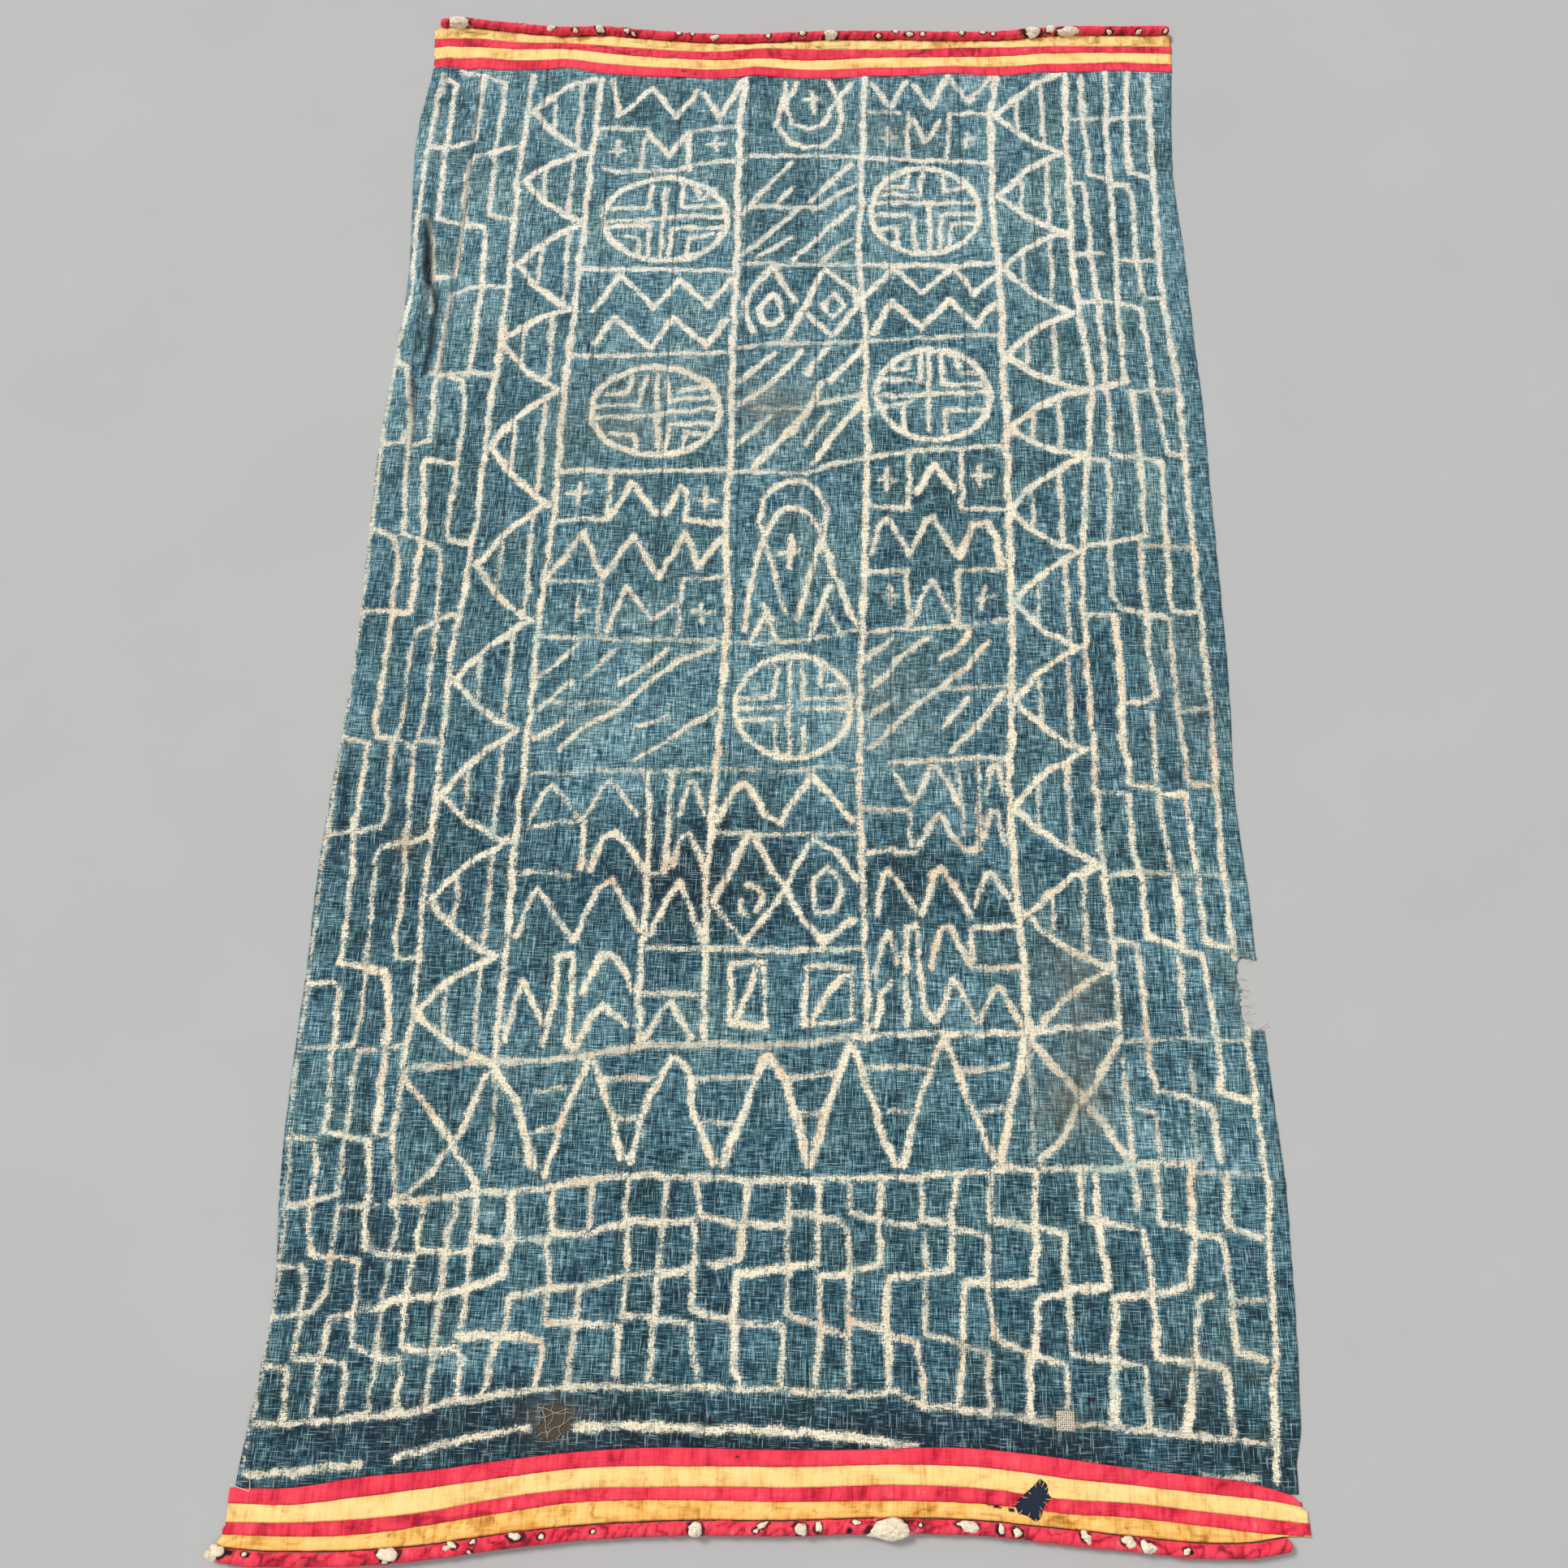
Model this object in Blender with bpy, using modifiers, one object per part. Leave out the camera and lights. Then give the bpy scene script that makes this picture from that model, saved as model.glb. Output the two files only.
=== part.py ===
"""A resist-dyed ndop cloth, laid out on a flat surface.

Narrow woven strips are sewn edge to edge. Both ends have a border of red and yellow strips, sewn on side by side,
and past the border a padded roll of red cotton, which is worn through to its wadding.
Units are metres. +X runs across the strips, +Y along them and +Z up, and the cloth lies on z = 0.
Tables are in centimetres from the cloth's own zero point, near the middle of its near end.
"""
import math
import random

import bmesh
import bpy
import numpy as np
from mathutils import Vector, noise

SEED = 11
CM = 0.01

# The zero point of the tables, seen from the middle of the cloth's outline
MIDDLE_ACROSS = -2.17
MIDDLE_ALONG = 135.05

# Thicknesses and gaps, in metres
CLOTH_THICKNESS = 0.0018
BORDER_THICKNESS = 0.0016
FACING_THICKNESS = 0.0010
GAP = 0.0004
END_SEAM_GAP = 0.0008
LIFT_ON_FACING = FACING_THICKNESS + 0.0003

# The padded rolls
ROLL_RADIUS = 0.0095
ROLL_FLATTEN = 0.94
ROLL_STEPS = 60
ROLL_BEVEL = 2
PUCKER = 0.045

# Mesh steps
STRIP_COLUMNS = 3
STRIP_ROWS = 30
FOLDED_STRIP_ROWS = 44
BORDER_STEPS = 46

# The outline of the long edges: along, across
LEFT_EDGE = (
    (4.8, -77.9), (20.0, -76.4), (35.0, -75.6), (46.0, -76.8), (60.0, -77.5), (80.0, -77.4),
    (98.0, -77.8), (115.0, -77.2), (135.0, -76.5), (160.0, -77.0), (178.0, -77.3), (195.0, -76.4),
    (212.0, -76.0), (228.0, -77.2), (242.0, -78.2), (252.0, -77.8), (262.0, -76.6),
)
RIGHT_EDGE = (
    (7.7, 72.6), (15.0, 74.5), (25.0, 75.2), (40.0, 75.6), (50.0, 75.8), (60.0, 75.2), (72.0, 74.7),
    (84.0, 74.3), (96.0, 74.0), (110.0, 73.1), (125.0, 73.8), (150.0, 73.9), (168.0, 73.7),
    (185.0, 73.7), (200.0, 73.1), (218.0, 72.7), (237.0, 71.8), (248.0, 72.3), (264.3, 73.5),
)

# The seams between the strips: across at the near end, at the middle and at the far end
STRIP_SEAMS = (
    (-64.6, -66.3, -66.7), (-51.8, -53.0, -53.5), (-38.6, -39.2, -39.8), (-25.2, -25.1, -25.9),
    (-11.0, -11.1, -12.0), (3.8, 2.6, 1.9), (17.4, 16.1, 16.0), (31.4, 30.4, 30.0),
    (45.6, 44.4, 44.1), (60.2, 59.0, 58.3),
)
SEAM_STATIONS = (8.0, 118.0, 262.0)

# Where the woven strips end and the borders begin: across, along
NEAR_SEAM = (
    (-79.0, 4.7), (-70.0, 4.8), (-60.0, 6.4), (-50.0, 7.5), (-40.0, 9.0), (-30.0, 10.3), (-20.0, 11.1),
    (0.0, 11.3), (12.0, 11.6), (24.0, 12.2), (40.0, 11.2), (50.0, 10.1), (60.0, 9.3), (67.0, 8.6),
    (73.5, 7.0),
)
FAR_SEAM = (
    (-77.0, 261.4), (-73.8, 262.0), (-70.0, 261.5), (-50.0, 261.9), (-40.0, 261.0), (-20.0, 260.3),
    (-10.0, 261.0), (0.0, 260.8), (10.0, 261.3), (25.0, 262.3), (40.0, 262.6), (50.0, 263.5),
    (60.0, 264.0), (74.0, 264.1),
)

# The middle lines of the padded rolls: across, along
NEAR_ROLL = (
    (-78.4, -3.5), (-74.0, -3.9), (-68.0, -3.9), (-60.0, -3.6), (-50.0, -2.7), (-40.0, -1.2),
    (-30.0, 0.1), (-20.0, 0.9), (-10.0, 1.35), (0.0, 1.5), (12.0, 2.1), (28.0, 2.2), (40.0, 1.4),
    (50.0, 0.7), (60.0, 0.1), (67.0, 0.4), (71.6, 1.2),
)
FAR_ROLL = (
    (-76.2, 272.5), (-71.0, 272.9), (-66.0, 272.4), (-56.0, 271.3), (-50.0, 271.0), (-44.0, 271.4),
    (-36.0, 270.8), (-25.0, 270.0), (-12.0, 270.0), (0.0, 271.0), (15.0, 271.5), (40.0, 272.1),
    (50.0, 273.4), (60.0, 273.8), (73.3, 274.1),
)

# The ends of the borders: share of the border's width from the seam to the roll, across
NEAR_BORDER_LEFT = ((0.0, -78.2), (0.5, -78.1), (0.8, -78.5), (1.0, -78.9))
NEAR_BORDER_RIGHT = ((0.0, 72.8), (0.25, 73.9), (0.5, 74.6), (0.8, 74.7), (1.0, 74.0))
FAR_BORDER_LEFT = ((0.0, -76.6), (0.5, -77.1), (1.0, -77.4))
FAR_BORDER_RIGHT = ((0.0, 73.4), (0.5, 73.6), (1.0, 73.8))

# The strips of each border, from the woven cloth outwards: name, crosswise steps
BORDER_STRIPS = (("inner_red", 1), ("inner_yellow", 1), ("outer_red", 1), ("outer_yellow", 2))

# The seams between a border's strips: across, then the along place of the first, second and third seam
NEAR_BORDER_SEAMS = (
    (-78.0, 2.8, 0.4, -1.1), (-70.0, 2.7, 0.5, -1.2), (-60.0, 3.9, 1.1, -0.8), (-50.0, 5.3, 2.3, 0.6),
    (-40.0, 6.8, 4.2, 2.3), (-30.0, 8.2, 5.6, 3.9), (-20.0, 8.8, 6.1, 4.5), (-10.0, 9.0, 6.4, 4.7),
    (0.0, 9.15, 6.5, 4.75), (20.0, 9.9, 7.3, 5.3), (30.0, 9.7, 7.0, 5.1), (40.0, 8.7, 6.0, 4.2),
    (50.0, 8.0, 5.7, 3.9), (60.0, 7.2, 4.9, 3.1), (70.0, 6.4, 4.1, 2.3), (75.0, 5.7, 3.7, 2.2),
)
FAR_BORDER_SEAMS = (
    (-77.0, 263.9, 267.0, 269.0), (-70.0, 264.4, 267.4, 269.4), (-60.0, 264.1, 267.0, 268.6),
    (-50.0, 264.4, 267.2, 268.5), (-40.0, 263.5, 266.1, 267.8), (-30.0, 262.8, 265.4, 267.0),
    (-20.0, 262.6, 265.0, 266.6), (-10.0, 263.4, 265.7, 267.7), (0.0, 263.0, 265.4, 267.6),
    (10.0, 263.6, 266.2, 267.9), (20.0, 264.1, 266.7, 268.2), (30.0, 264.5, 267.0, 269.0),
    (40.0, 264.8, 267.5, 269.3), (50.0, 265.7, 268.5, 270.0), (60.0, 266.2, 268.8, 270.3),
    (74.0, 266.2, 268.9, 270.6),
)

# The fold that stands up along the left edge: along, crest across, height, left reach, right reach
EDGE_FOLD = (
    (264.0, -74.2, 0.9, 2.0, 1.4), (250.0, -74.8, 0.4, 2.6, 2.0), (236.0, -74.4, 0.6, 2.6, 2.0),
    (226.0, -73.6, 1.2, 2.8, 1.3), (213.0, -72.5, 1.9, 3.4, 1.0), (200.0, -72.5, 1.9, 3.6, 1.0),
    (190.0, -72.9, 1.4, 3.6, 1.0), (180.0, -73.2, 0.8, 3.6, 1.0), (165.0, -73.4, 0.4, 3.2, 1.0),
    (145.0, -73.6, 0.0, 3.0, 1.2),
)
FOLD_COLUMNS = (0.0, 0.13, 0.27, 0.36, 0.43, 0.49, 0.56, 0.68, 0.84, 1.0)

# Soft ripples: from across, from along, to across, to along, height, reach to each side
RIPPLES = (
    (-72.0, 12.0, -30.0, 25.0, 0.55, 5.0),
    (-76.0, 30.0, -34.0, 40.0, 0.40, 5.5),
    (-74.0, 60.0, -38.0, 58.0, 0.35, 6.0),
    (-48.0, 92.0, 34.0, 86.0, 0.30, 6.5),
    (20.0, 40.0, 70.0, 30.0, 0.35, 6.0),
    (66.0, 66.0, 70.0, 20.0, 0.45, 5.0),
    (-1.3, 178.0, -0.9, 132.0, 0.35, 3.0),
    (48.0, 130.0, 70.0, 150.0, 0.30, 5.5),
    (-60.0, 120.0, -30.0, 150.0, 0.25, 6.0),
    (20.0, 196.0, 66.0, 206.0, 0.30, 6.5),
)

# Puffs where the far seam draws the cloth in: across, height, reach to each side
FAR_PUFFS = (
    (-66.0, 0.6, 4.0), (-49.5, 0.7, 5.0), (-27.0, 0.4, 6.0), (-11.0, 0.6, 5.0), (12.0, 0.4, 5.0),
    (28.0, 0.5, 6.0), (46.0, 0.5, 5.0), (62.0, 0.4, 6.0),
)
PUFF_INTO_CLOTH = 16.0
PUFF_INTO_BORDER = 5.0

# The lengthwise buckle of the far border: across, height
FAR_BUCKLE = (
    (-77.0, 0.25), (-55.0, 0.30), (-35.0, 0.55), (-18.0, 0.80), (5.0, 0.80), (28.0, 0.60),
    (46.0, 0.50), (60.0, 0.30), (74.0, 0.25),
)
BUCKLE_AT_SHARE = 0.75
BUCKLE_REACH = 0.25
FAR_BORDER_WIDTH = 9.2
OUTER_RISE_FAR = 0.75
OUTER_RISE_NEAR = 0.45

# Shares of a border's width past which its outer edge rises towards the roll
NEAR_LEAN_FROM = 0.75
FAR_LEAN_FROM = 0.825

# The near border's slight waves: height, wavelengths across, and how far they slant from seam to roll
NEAR_WAVE = 0.06
NEAR_WAVE_SHORT = 4.1
NEAR_WAVE_LONG = 9.7
NEAR_WAVE_SLANT = 5.0

# The navy facing: its ends, its reach inside the seam and past the roll, and the tab at its left end
FACING_LEFT = -79.4
FACING_RIGHT = 72.4
FACING_INSIDE_SEAM = 0.4
FACING_PAST_ROLL = 0.85
FACING_TAB_RIGHT = -78.0
FACING_TAB_SEAM = 0.9
FACING_TAB_SHARES = (0.0, 0.011)
FACING_BODY_FROM = 0.012
FACING_STEPS = 30

# Points closer than this are one point
MERGE_DISTANCE = 0.00005

# Holes and tears: outlines of across and along
BORDER_HOLE = (
    (37.0, 8.5), (37.9, 7.7), (38.0, 6.6), (38.6, 6.1), (37.5, 5.2), (36.6, 4.85), (35.0, 4.95),
    (33.8, 5.1), (33.2, 5.4), (34.3, 6.2), (35.2, 6.9), (36.2, 7.8),
)
ROTTED_HOLE = (
    (-34.8, 15.6), (-33.6, 16.3), (-32.2, 16.4), (-30.9, 15.9), (-30.5, 14.6), (-30.7, 13.2),
    (-31.9, 12.3), (-33.3, 12.0), (-34.9, 12.2), (-35.2, 13.4), (-34.4, 14.2),
)
EDGE_TEAR = (
    (79.0, 83.6), (74.0, 83.4), (72.4, 83.7), (71.2, 83.2), (71.0, 80.5), (71.4, 78.4), (71.0, 76.0),
    (71.5, 73.4), (72.6, 72.6), (74.2, 72.1), (79.0, 71.6),
)
DARNED_HOLE = ((40.2, 16.9), (41.3, 17.2), (42.0, 16.3), (41.6, 15.1), (40.6, 14.8), (39.9, 15.7))

# Wadding that shows: name, across, along from the roll's middle line, height, half sizes across, along, up
NEAR_TUFTS = (
    ("near_tuft_end", -79.0, 0.05, 1.00, 1.15, 0.78, 0.70),
    ("near_tuft_a", -54.3, 0.30, 1.55, 0.95, 0.50, 0.45),
    ("near_tuft_b", -46.3, 0.40, 1.50, 0.60, 0.40, 0.40),
    ("near_tuft_c", -11.8, -0.20, 1.55, 1.05, 0.70, 0.50),
    ("near_tuft_d", 2.9, 0.15, 1.60, 0.85, 0.60, 0.45),
    ("near_tuft_big", 15.5, -0.35, 1.40, 3.00, 1.30, 0.85),
    ("near_tuft_e", 26.7, 0.25, 1.60, 1.35, 0.65, 0.45),
    ("near_tuft_f", 43.1, 0.25, 1.55, 0.60, 0.70, 0.45),
    ("near_tuft_g", 49.0, 0.25, 1.55, 0.85, 0.60, 0.45),
    ("near_tuft_h", 51.7, -0.05, 1.60, 0.95, 0.65, 0.45),
)
FAR_TUFTS = (
    ("far_tuft_corner", -72.8, -0.10, 1.50, 1.70, 1.00, 0.60),
    ("far_tuft_a", -53.5, -0.10, 1.50, 0.85, 0.60, 0.50),
    ("far_tuft_b", -43.4, -0.10, 1.50, 0.85, 0.75, 0.50),
    ("far_tuft_c", -20.0, -0.35, 1.45, 0.80, 0.60, 0.45),
    ("far_tuft_d", 3.9, -0.20, 1.50, 1.50, 0.85, 0.60),
    ("far_tuft_e", 45.2, -0.05, 1.55, 1.60, 0.80, 0.60),
    ("far_tuft_f", 48.8, 0.00, 1.55, 0.95, 0.80, 0.55),
    ("far_tuft_g", 52.9, -0.45, 1.40, 1.95, 0.90, 0.65),
)
TUFT_LUMPS = 0.12
LUMP_PITCH = 1.7
LUMP_SHIFT = (7.3, 3.1)

# Height of the upright cutters that make the holes
CUTTER_HEIGHT = 0.06

# Colour, roughness
MATERIALS = {
    "indigo_cotton": ((0.050, 0.130, 0.185, 1.0), 0.92),
    "red_cotton": ((0.620, 0.035, 0.070, 1.0), 0.85),
    "yellow_cotton": ((0.830, 0.520, 0.160, 1.0), 0.85),
    "navy_cotton": ((0.012, 0.014, 0.024, 1.0), 0.90),
    "cotton_wadding": ((0.850, 0.720, 0.520, 1.0), 0.95),
}


def clear_scene():
    for obj in list(bpy.data.objects):
        bpy.data.objects.remove(obj, do_unlink=True)


def collection(name):
    made = bpy.data.collections.new(name)
    bpy.context.scene.collection.children.link(made)
    return made


def material(name):
    made = bpy.data.materials.get(name)
    if made is None:
        colour, roughness = MATERIALS[name]
        made = bpy.data.materials.new(name)
        made.use_nodes = True
        shader = made.node_tree.nodes["Principled BSDF"]
        shader.inputs["Base Color"].default_value = colour
        shader.inputs["Roughness"].default_value = roughness
        shader.inputs["Metallic"].default_value = 0.0
        made.diffuse_color = colour
    return made


def along_curve(table, at, column=1):
    """A smooth curve through a table's rows: the column's value at a value of the first column."""
    rows = np.array(sorted(table), float)
    stops, values = rows[:, 0], rows[:, column]
    slopes = np.gradient(values, stops)
    at = min(max(at, stops[0]), stops[-1])
    i = int(np.clip(np.searchsorted(stops, at) - 1, 0, len(stops) - 2))
    span = stops[i + 1] - stops[i]
    t = (at - stops[i]) / span
    start, end = (1 + 2 * t) * (1 - t) ** 2, t * t * (3 - 2 * t)
    leave, arrive = t * (1 - t) ** 2 * span, t * t * (t - 1) * span
    return float(start * values[i] + end * values[i + 1] + leave * slopes[i] + arrive * slopes[i + 1])


def bump(distance, reach):
    """A rounded bump: 1 at the middle, 0 at the reach and past it."""
    share = max(0.0, 1.0 - abs(distance) / reach)
    return 0.5 - 0.5 * math.cos(math.pi * share)


def metres(across, along, height=0.0):
    """A place in the tables' centimetres, as a point of the part."""
    return (across - MIDDLE_ACROSS) * CM, (along - MIDDLE_ALONG) * CM, height * CM


def edge_fold_height(across, along):
    crest, height, left, right = (along_curve(EDGE_FOLD, along, column) for column in (1, 2, 3, 4))
    if along < EDGE_FOLD[-1][0]:
        return 0.0
    return height * bump(across - crest, left if across < crest else right)


def ripple_height(across, along):
    total = 0.0
    for x0, y0, x1, y1, height, reach in RIPPLES:
        dx, dy = x1 - x0, y1 - y0
        length = math.hypot(dx, dy)
        share = ((across - x0) * dx + (along - y0) * dy) / length**2
        aside = ((across - x0) * dy - (along - y0) * dx) / length
        if 0.0 < share < 1.0:
            total += height * bump(aside, reach) * math.sin(math.pi * share)
    return total


def puff_height(across, from_seam, reach_along):
    return sum(
        height * bump(across - middle, reach) * bump(from_seam, reach_along)
        for middle, height, reach in FAR_PUFFS
    )


def cloth_height(across, along):
    """How far the woven cloth's underside stands off the surface, in centimetres."""
    from_far_seam = along_curve(FAR_SEAM, across) - along
    puffs = puff_height(across, from_far_seam, PUFF_INTO_CLOTH)
    return max(edge_fold_height(across, along), ripple_height(across, along) + puffs)


def strip_side(number, along):
    """The across place of a seam, counted from the left edge, with the gap left for the stitches."""
    if number == 0:
        return along_curve(LEFT_EDGE, along)
    if number == len(STRIP_SEAMS) + 1:
        return along_curve(RIGHT_EDGE, along)
    return along_curve(tuple(zip(SEAM_STATIONS, STRIP_SEAMS[number - 1])), along)


def thicken_upright(work, thickness):
    """Turns an open sheet into a closed one, with its upper side straight above its underside."""
    underside = list(work.faces)
    made = bmesh.ops.extrude_face_region(work, geom=underside)["geom"]
    top = [item for item in made if isinstance(item, bmesh.types.BMVert)]
    bmesh.ops.translate(work, verts=top, vec=(0.0, 0.0, thickness))
    bmesh.ops.recalc_face_normals(work, faces=work.faces)


def sheet(name, place, columns, rows, thickness, colour, group, upright=False):
    """A sheet from a grid of columns and rows, laid by place(u, v), thickened upwards."""
    mesh = bpy.data.meshes.new(name)
    grid = bmesh.new()
    bmesh.ops.create_grid(grid, x_segments=len(columns) - 1, y_segments=rows, size=0.5)
    stops = [i / (len(columns) - 1) for i in range(len(columns))]
    for vert in grid.verts:
        u = float(np.interp(vert.co.x + 0.5, stops, columns))
        vert.co = place(u, vert.co.y + 0.5)
    if upright:
        thicken_upright(grid, thickness)
    grid.to_mesh(mesh)
    grid.free()
    obj = bpy.data.objects.new(name, mesh)
    group.objects.link(obj)
    mesh.materials.append(material(colour))
    if not upright:
        mesh.shade_smooth()
        solidify = obj.modifiers.new("Thickness", "SOLIDIFY")
        solidify.thickness = thickness
        solidify.offset = 1.0
    return obj


def even(steps):
    return [i / steps for i in range(steps + 1)]


def woven_strip(number, group):
    """One woven strip, from its left seam to its right, between the two borders."""
    first, last = SEAM_STATIONS[0], SEAM_STATIONS[-1]
    half_gap = GAP / CM / 2
    end_gap = END_SEAM_GAP / CM - half_gap

    def place(u, v):
        station = first + v * (last - first)
        left = strip_side(number, station) + half_gap
        right = strip_side(number + 1, station) - half_gap
        across = left + u * (right - left)
        near = along_curve(NEAR_SEAM, across) + end_gap
        far = along_curve(FAR_SEAM, across) - end_gap
        along = near + v * (far - near)
        return metres(across, along, cloth_height(across, along))

    folded = number == 0
    columns = FOLD_COLUMNS if folded else even(STRIP_COLUMNS)
    rows = FOLDED_STRIP_ROWS if folded else STRIP_ROWS
    return sheet(f"strip_{number + 1:02d}", place, columns, rows, CLOTH_THICKNESS, "indigo_cotton", group)


def roll_side(roll, across, inward):
    """The roll's side that faces the border; inward is +1 at the near end and -1 at the far end."""
    allowance = ROLL_RADIUS * (1 + PUCKER) + GAP
    return along_curve(roll, across) + inward * allowance / CM


def near_border_height(across, share):
    lean = max(0.0, (share - NEAR_LEAN_FROM) / (1 - NEAR_LEAN_FROM))
    long_wave = math.sin(across / NEAR_WAVE_LONG + NEAR_WAVE_SLANT * share)
    wave = NEAR_WAVE * (1 + math.sin(across / NEAR_WAVE_SHORT) * long_wave)
    return LIFT_ON_FACING / CM + wave * math.sin(math.pi * share) + OUTER_RISE_NEAR * lean**2


def far_border_height(across, share):
    puffs = puff_height(across, share * FAR_BORDER_WIDTH, PUFF_INTO_BORDER)
    fold = edge_fold_height(across, EDGE_FOLD[0][0]) * (1 - share)
    buckle = along_curve(FAR_BUCKLE, across) * bump(share - BUCKLE_AT_SHARE, BUCKLE_REACH)
    lean = max(0.0, (share - FAR_LEAN_FROM) / (1 - FAR_LEAN_FROM))
    return max(puffs, fold) + buckle + OUTER_RISE_FAR * lean**2


def border_lines(end, across):
    """The along places of a border's seams, from the woven cloth to the roll."""
    if end == "near":
        seam, between, roll, inward = NEAR_SEAM, NEAR_BORDER_SEAMS, NEAR_ROLL, 1
    else:
        seam, between, roll, inward = FAR_SEAM, FAR_BORDER_SEAMS, FAR_ROLL, -1
    sewn = [along_curve(between, across, column) for column in (1, 2, 3)]
    return [along_curve(seam, across), *sewn, roll_side(roll, across, inward)]


def border_strip(end, number, group):
    """One sewn strip of a border, counted from the woven cloth."""
    name, steps = BORDER_STRIPS[number]
    near = end == "near"
    left_end, right_end = (NEAR_BORDER_LEFT, NEAR_BORDER_RIGHT) if near else (FAR_BORDER_LEFT, FAR_BORDER_RIGHT)
    height = near_border_height if near else far_border_height
    half_gap = GAP / CM / 2

    def place(u, v):
        part = 1 - v if near else v
        share = (number + part) / len(BORDER_STRIPS)
        left, right = along_curve(left_end, share), along_curve(right_end, share)
        across = left + u * (right - left)
        lines = border_lines(end, across)
        along = lines[number] + part * (lines[number + 1] - lines[number]) + half_gap * (1 - 2 * v)
        return metres(across, along, height(across, share))

    colour = "red_cotton" if name.endswith("red") else "yellow_cotton"
    return sheet(f"{end}_{name}", place, even(BORDER_STEPS), steps, BORDER_THICKNESS, colour, group, upright=True)


def facing(group):
    """The navy facing under the near border, which reaches a little past its left end."""

    def place(u, v):
        across = FACING_LEFT + u * (FACING_RIGHT - FACING_LEFT)
        seam = along_curve(NEAR_SEAM, across) - FACING_INSIDE_SEAM
        roll = along_curve(NEAR_ROLL, across) + FACING_PAST_ROLL
        if across < FACING_TAB_RIGHT:
            seam = FACING_TAB_SEAM
        return metres(across, roll + v * (seam - roll))

    body = [FACING_BODY_FROM + (1 - FACING_BODY_FROM) * stop for stop in even(FACING_STEPS)]
    columns = [*FACING_TAB_SHARES, *body]
    return sheet("near_facing", place, columns, 1, FACING_THICKNESS, "navy_cotton", group, upright=True)


def roll_tube(name, table, seed, group):
    """A padded roll: a tube of uneven thickness that rests on the surface."""
    rng = random.Random(seed)
    curve = bpy.data.curves.new(name, "CURVE")
    curve.dimensions = "3D"
    curve.bevel_depth = ROLL_RADIUS
    curve.bevel_resolution = ROLL_BEVEL
    curve.use_fill_caps = True
    spline = curve.splines.new("POLY")
    spline.points.add(ROLL_STEPS)
    first, last = table[0][0], table[-1][0]
    for i, point in enumerate(spline.points):
        across = first + (last - first) * i / ROLL_STEPS
        x, y, _ = metres(across, along_curve(table, across))
        point.co = (x, y, ROLL_RADIUS * ROLL_FLATTEN, 1)
        point.radius = 1 + PUCKER * rng.uniform(-1, 1)
    soft = bpy.data.objects.new(name + "_curve", curve)
    group.objects.link(soft)
    bpy.context.view_layer.update()
    mesh = bpy.data.meshes.new_from_object(soft.evaluated_get(bpy.context.evaluated_depsgraph_get()))
    bpy.data.objects.remove(soft, do_unlink=True)
    mesh.name = name
    work = bmesh.new()
    work.from_mesh(mesh)
    bmesh.ops.remove_doubles(work, verts=work.verts, dist=MERGE_DISTANCE)
    for vert in work.verts:
        vert.co.z = max(0.0, vert.co.z)
    bmesh.ops.recalc_face_normals(work, faces=work.faces)
    work.to_mesh(mesh)
    work.free()
    mesh.materials.clear()
    mesh.materials.append(material("red_cotton"))
    obj = bpy.data.objects.new(name, mesh)
    group.objects.link(obj)
    return obj


def lump(name, place, half_sizes, seed, grow=0.0):
    """A lumpy ball of wadding; grow makes it larger all round."""
    mesh = bpy.data.meshes.new(name)
    ball = bmesh.new()
    bmesh.ops.create_icosphere(ball, subdivisions=2, radius=1.0)
    shift = Vector((LUMP_SHIFT[0] * seed, LUMP_SHIFT[1] * seed, 0.0))
    for vert in ball.verts:
        swell = 1 + TUFT_LUMPS * noise.noise(vert.co * LUMP_PITCH + shift)
        vert.co = [place[k] + vert.co[k] * (half_sizes[k] * swell + grow) for k in range(3)]
    ball.to_mesh(mesh)
    ball.free()
    mesh.materials.append(material("cotton_wadding"))
    return mesh


def cut(obj, cutter):
    boolean = obj.modifiers.new("Cut", "BOOLEAN")
    boolean.operation = "DIFFERENCE"
    boolean.solver = "EXACT"
    boolean.object = cutter


def as_cutter(obj):
    obj.hide_render = True
    obj.display_type = "WIRE"
    return obj


def tufts(rows, roll, table, group, cutters):
    """The wadding that shows through a roll's worn places, each piece in a pocket of the roll."""
    for seed, (name, across, aside, height, half_across, half_along, half_up) in enumerate(rows, start=1):
        place = metres(across, along_curve(table, across) + aside, height)
        half_sizes = (half_across * CM, half_along * CM, half_up * CM)
        group.objects.link(bpy.data.objects.new(name, lump(name, place, half_sizes, seed)))
        pocket = bpy.data.objects.new(name + "_pocket", lump(name + "_pocket", place, half_sizes, seed, GAP))
        cutters.objects.link(as_cutter(pocket))
        cut(roll, pocket)


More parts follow.
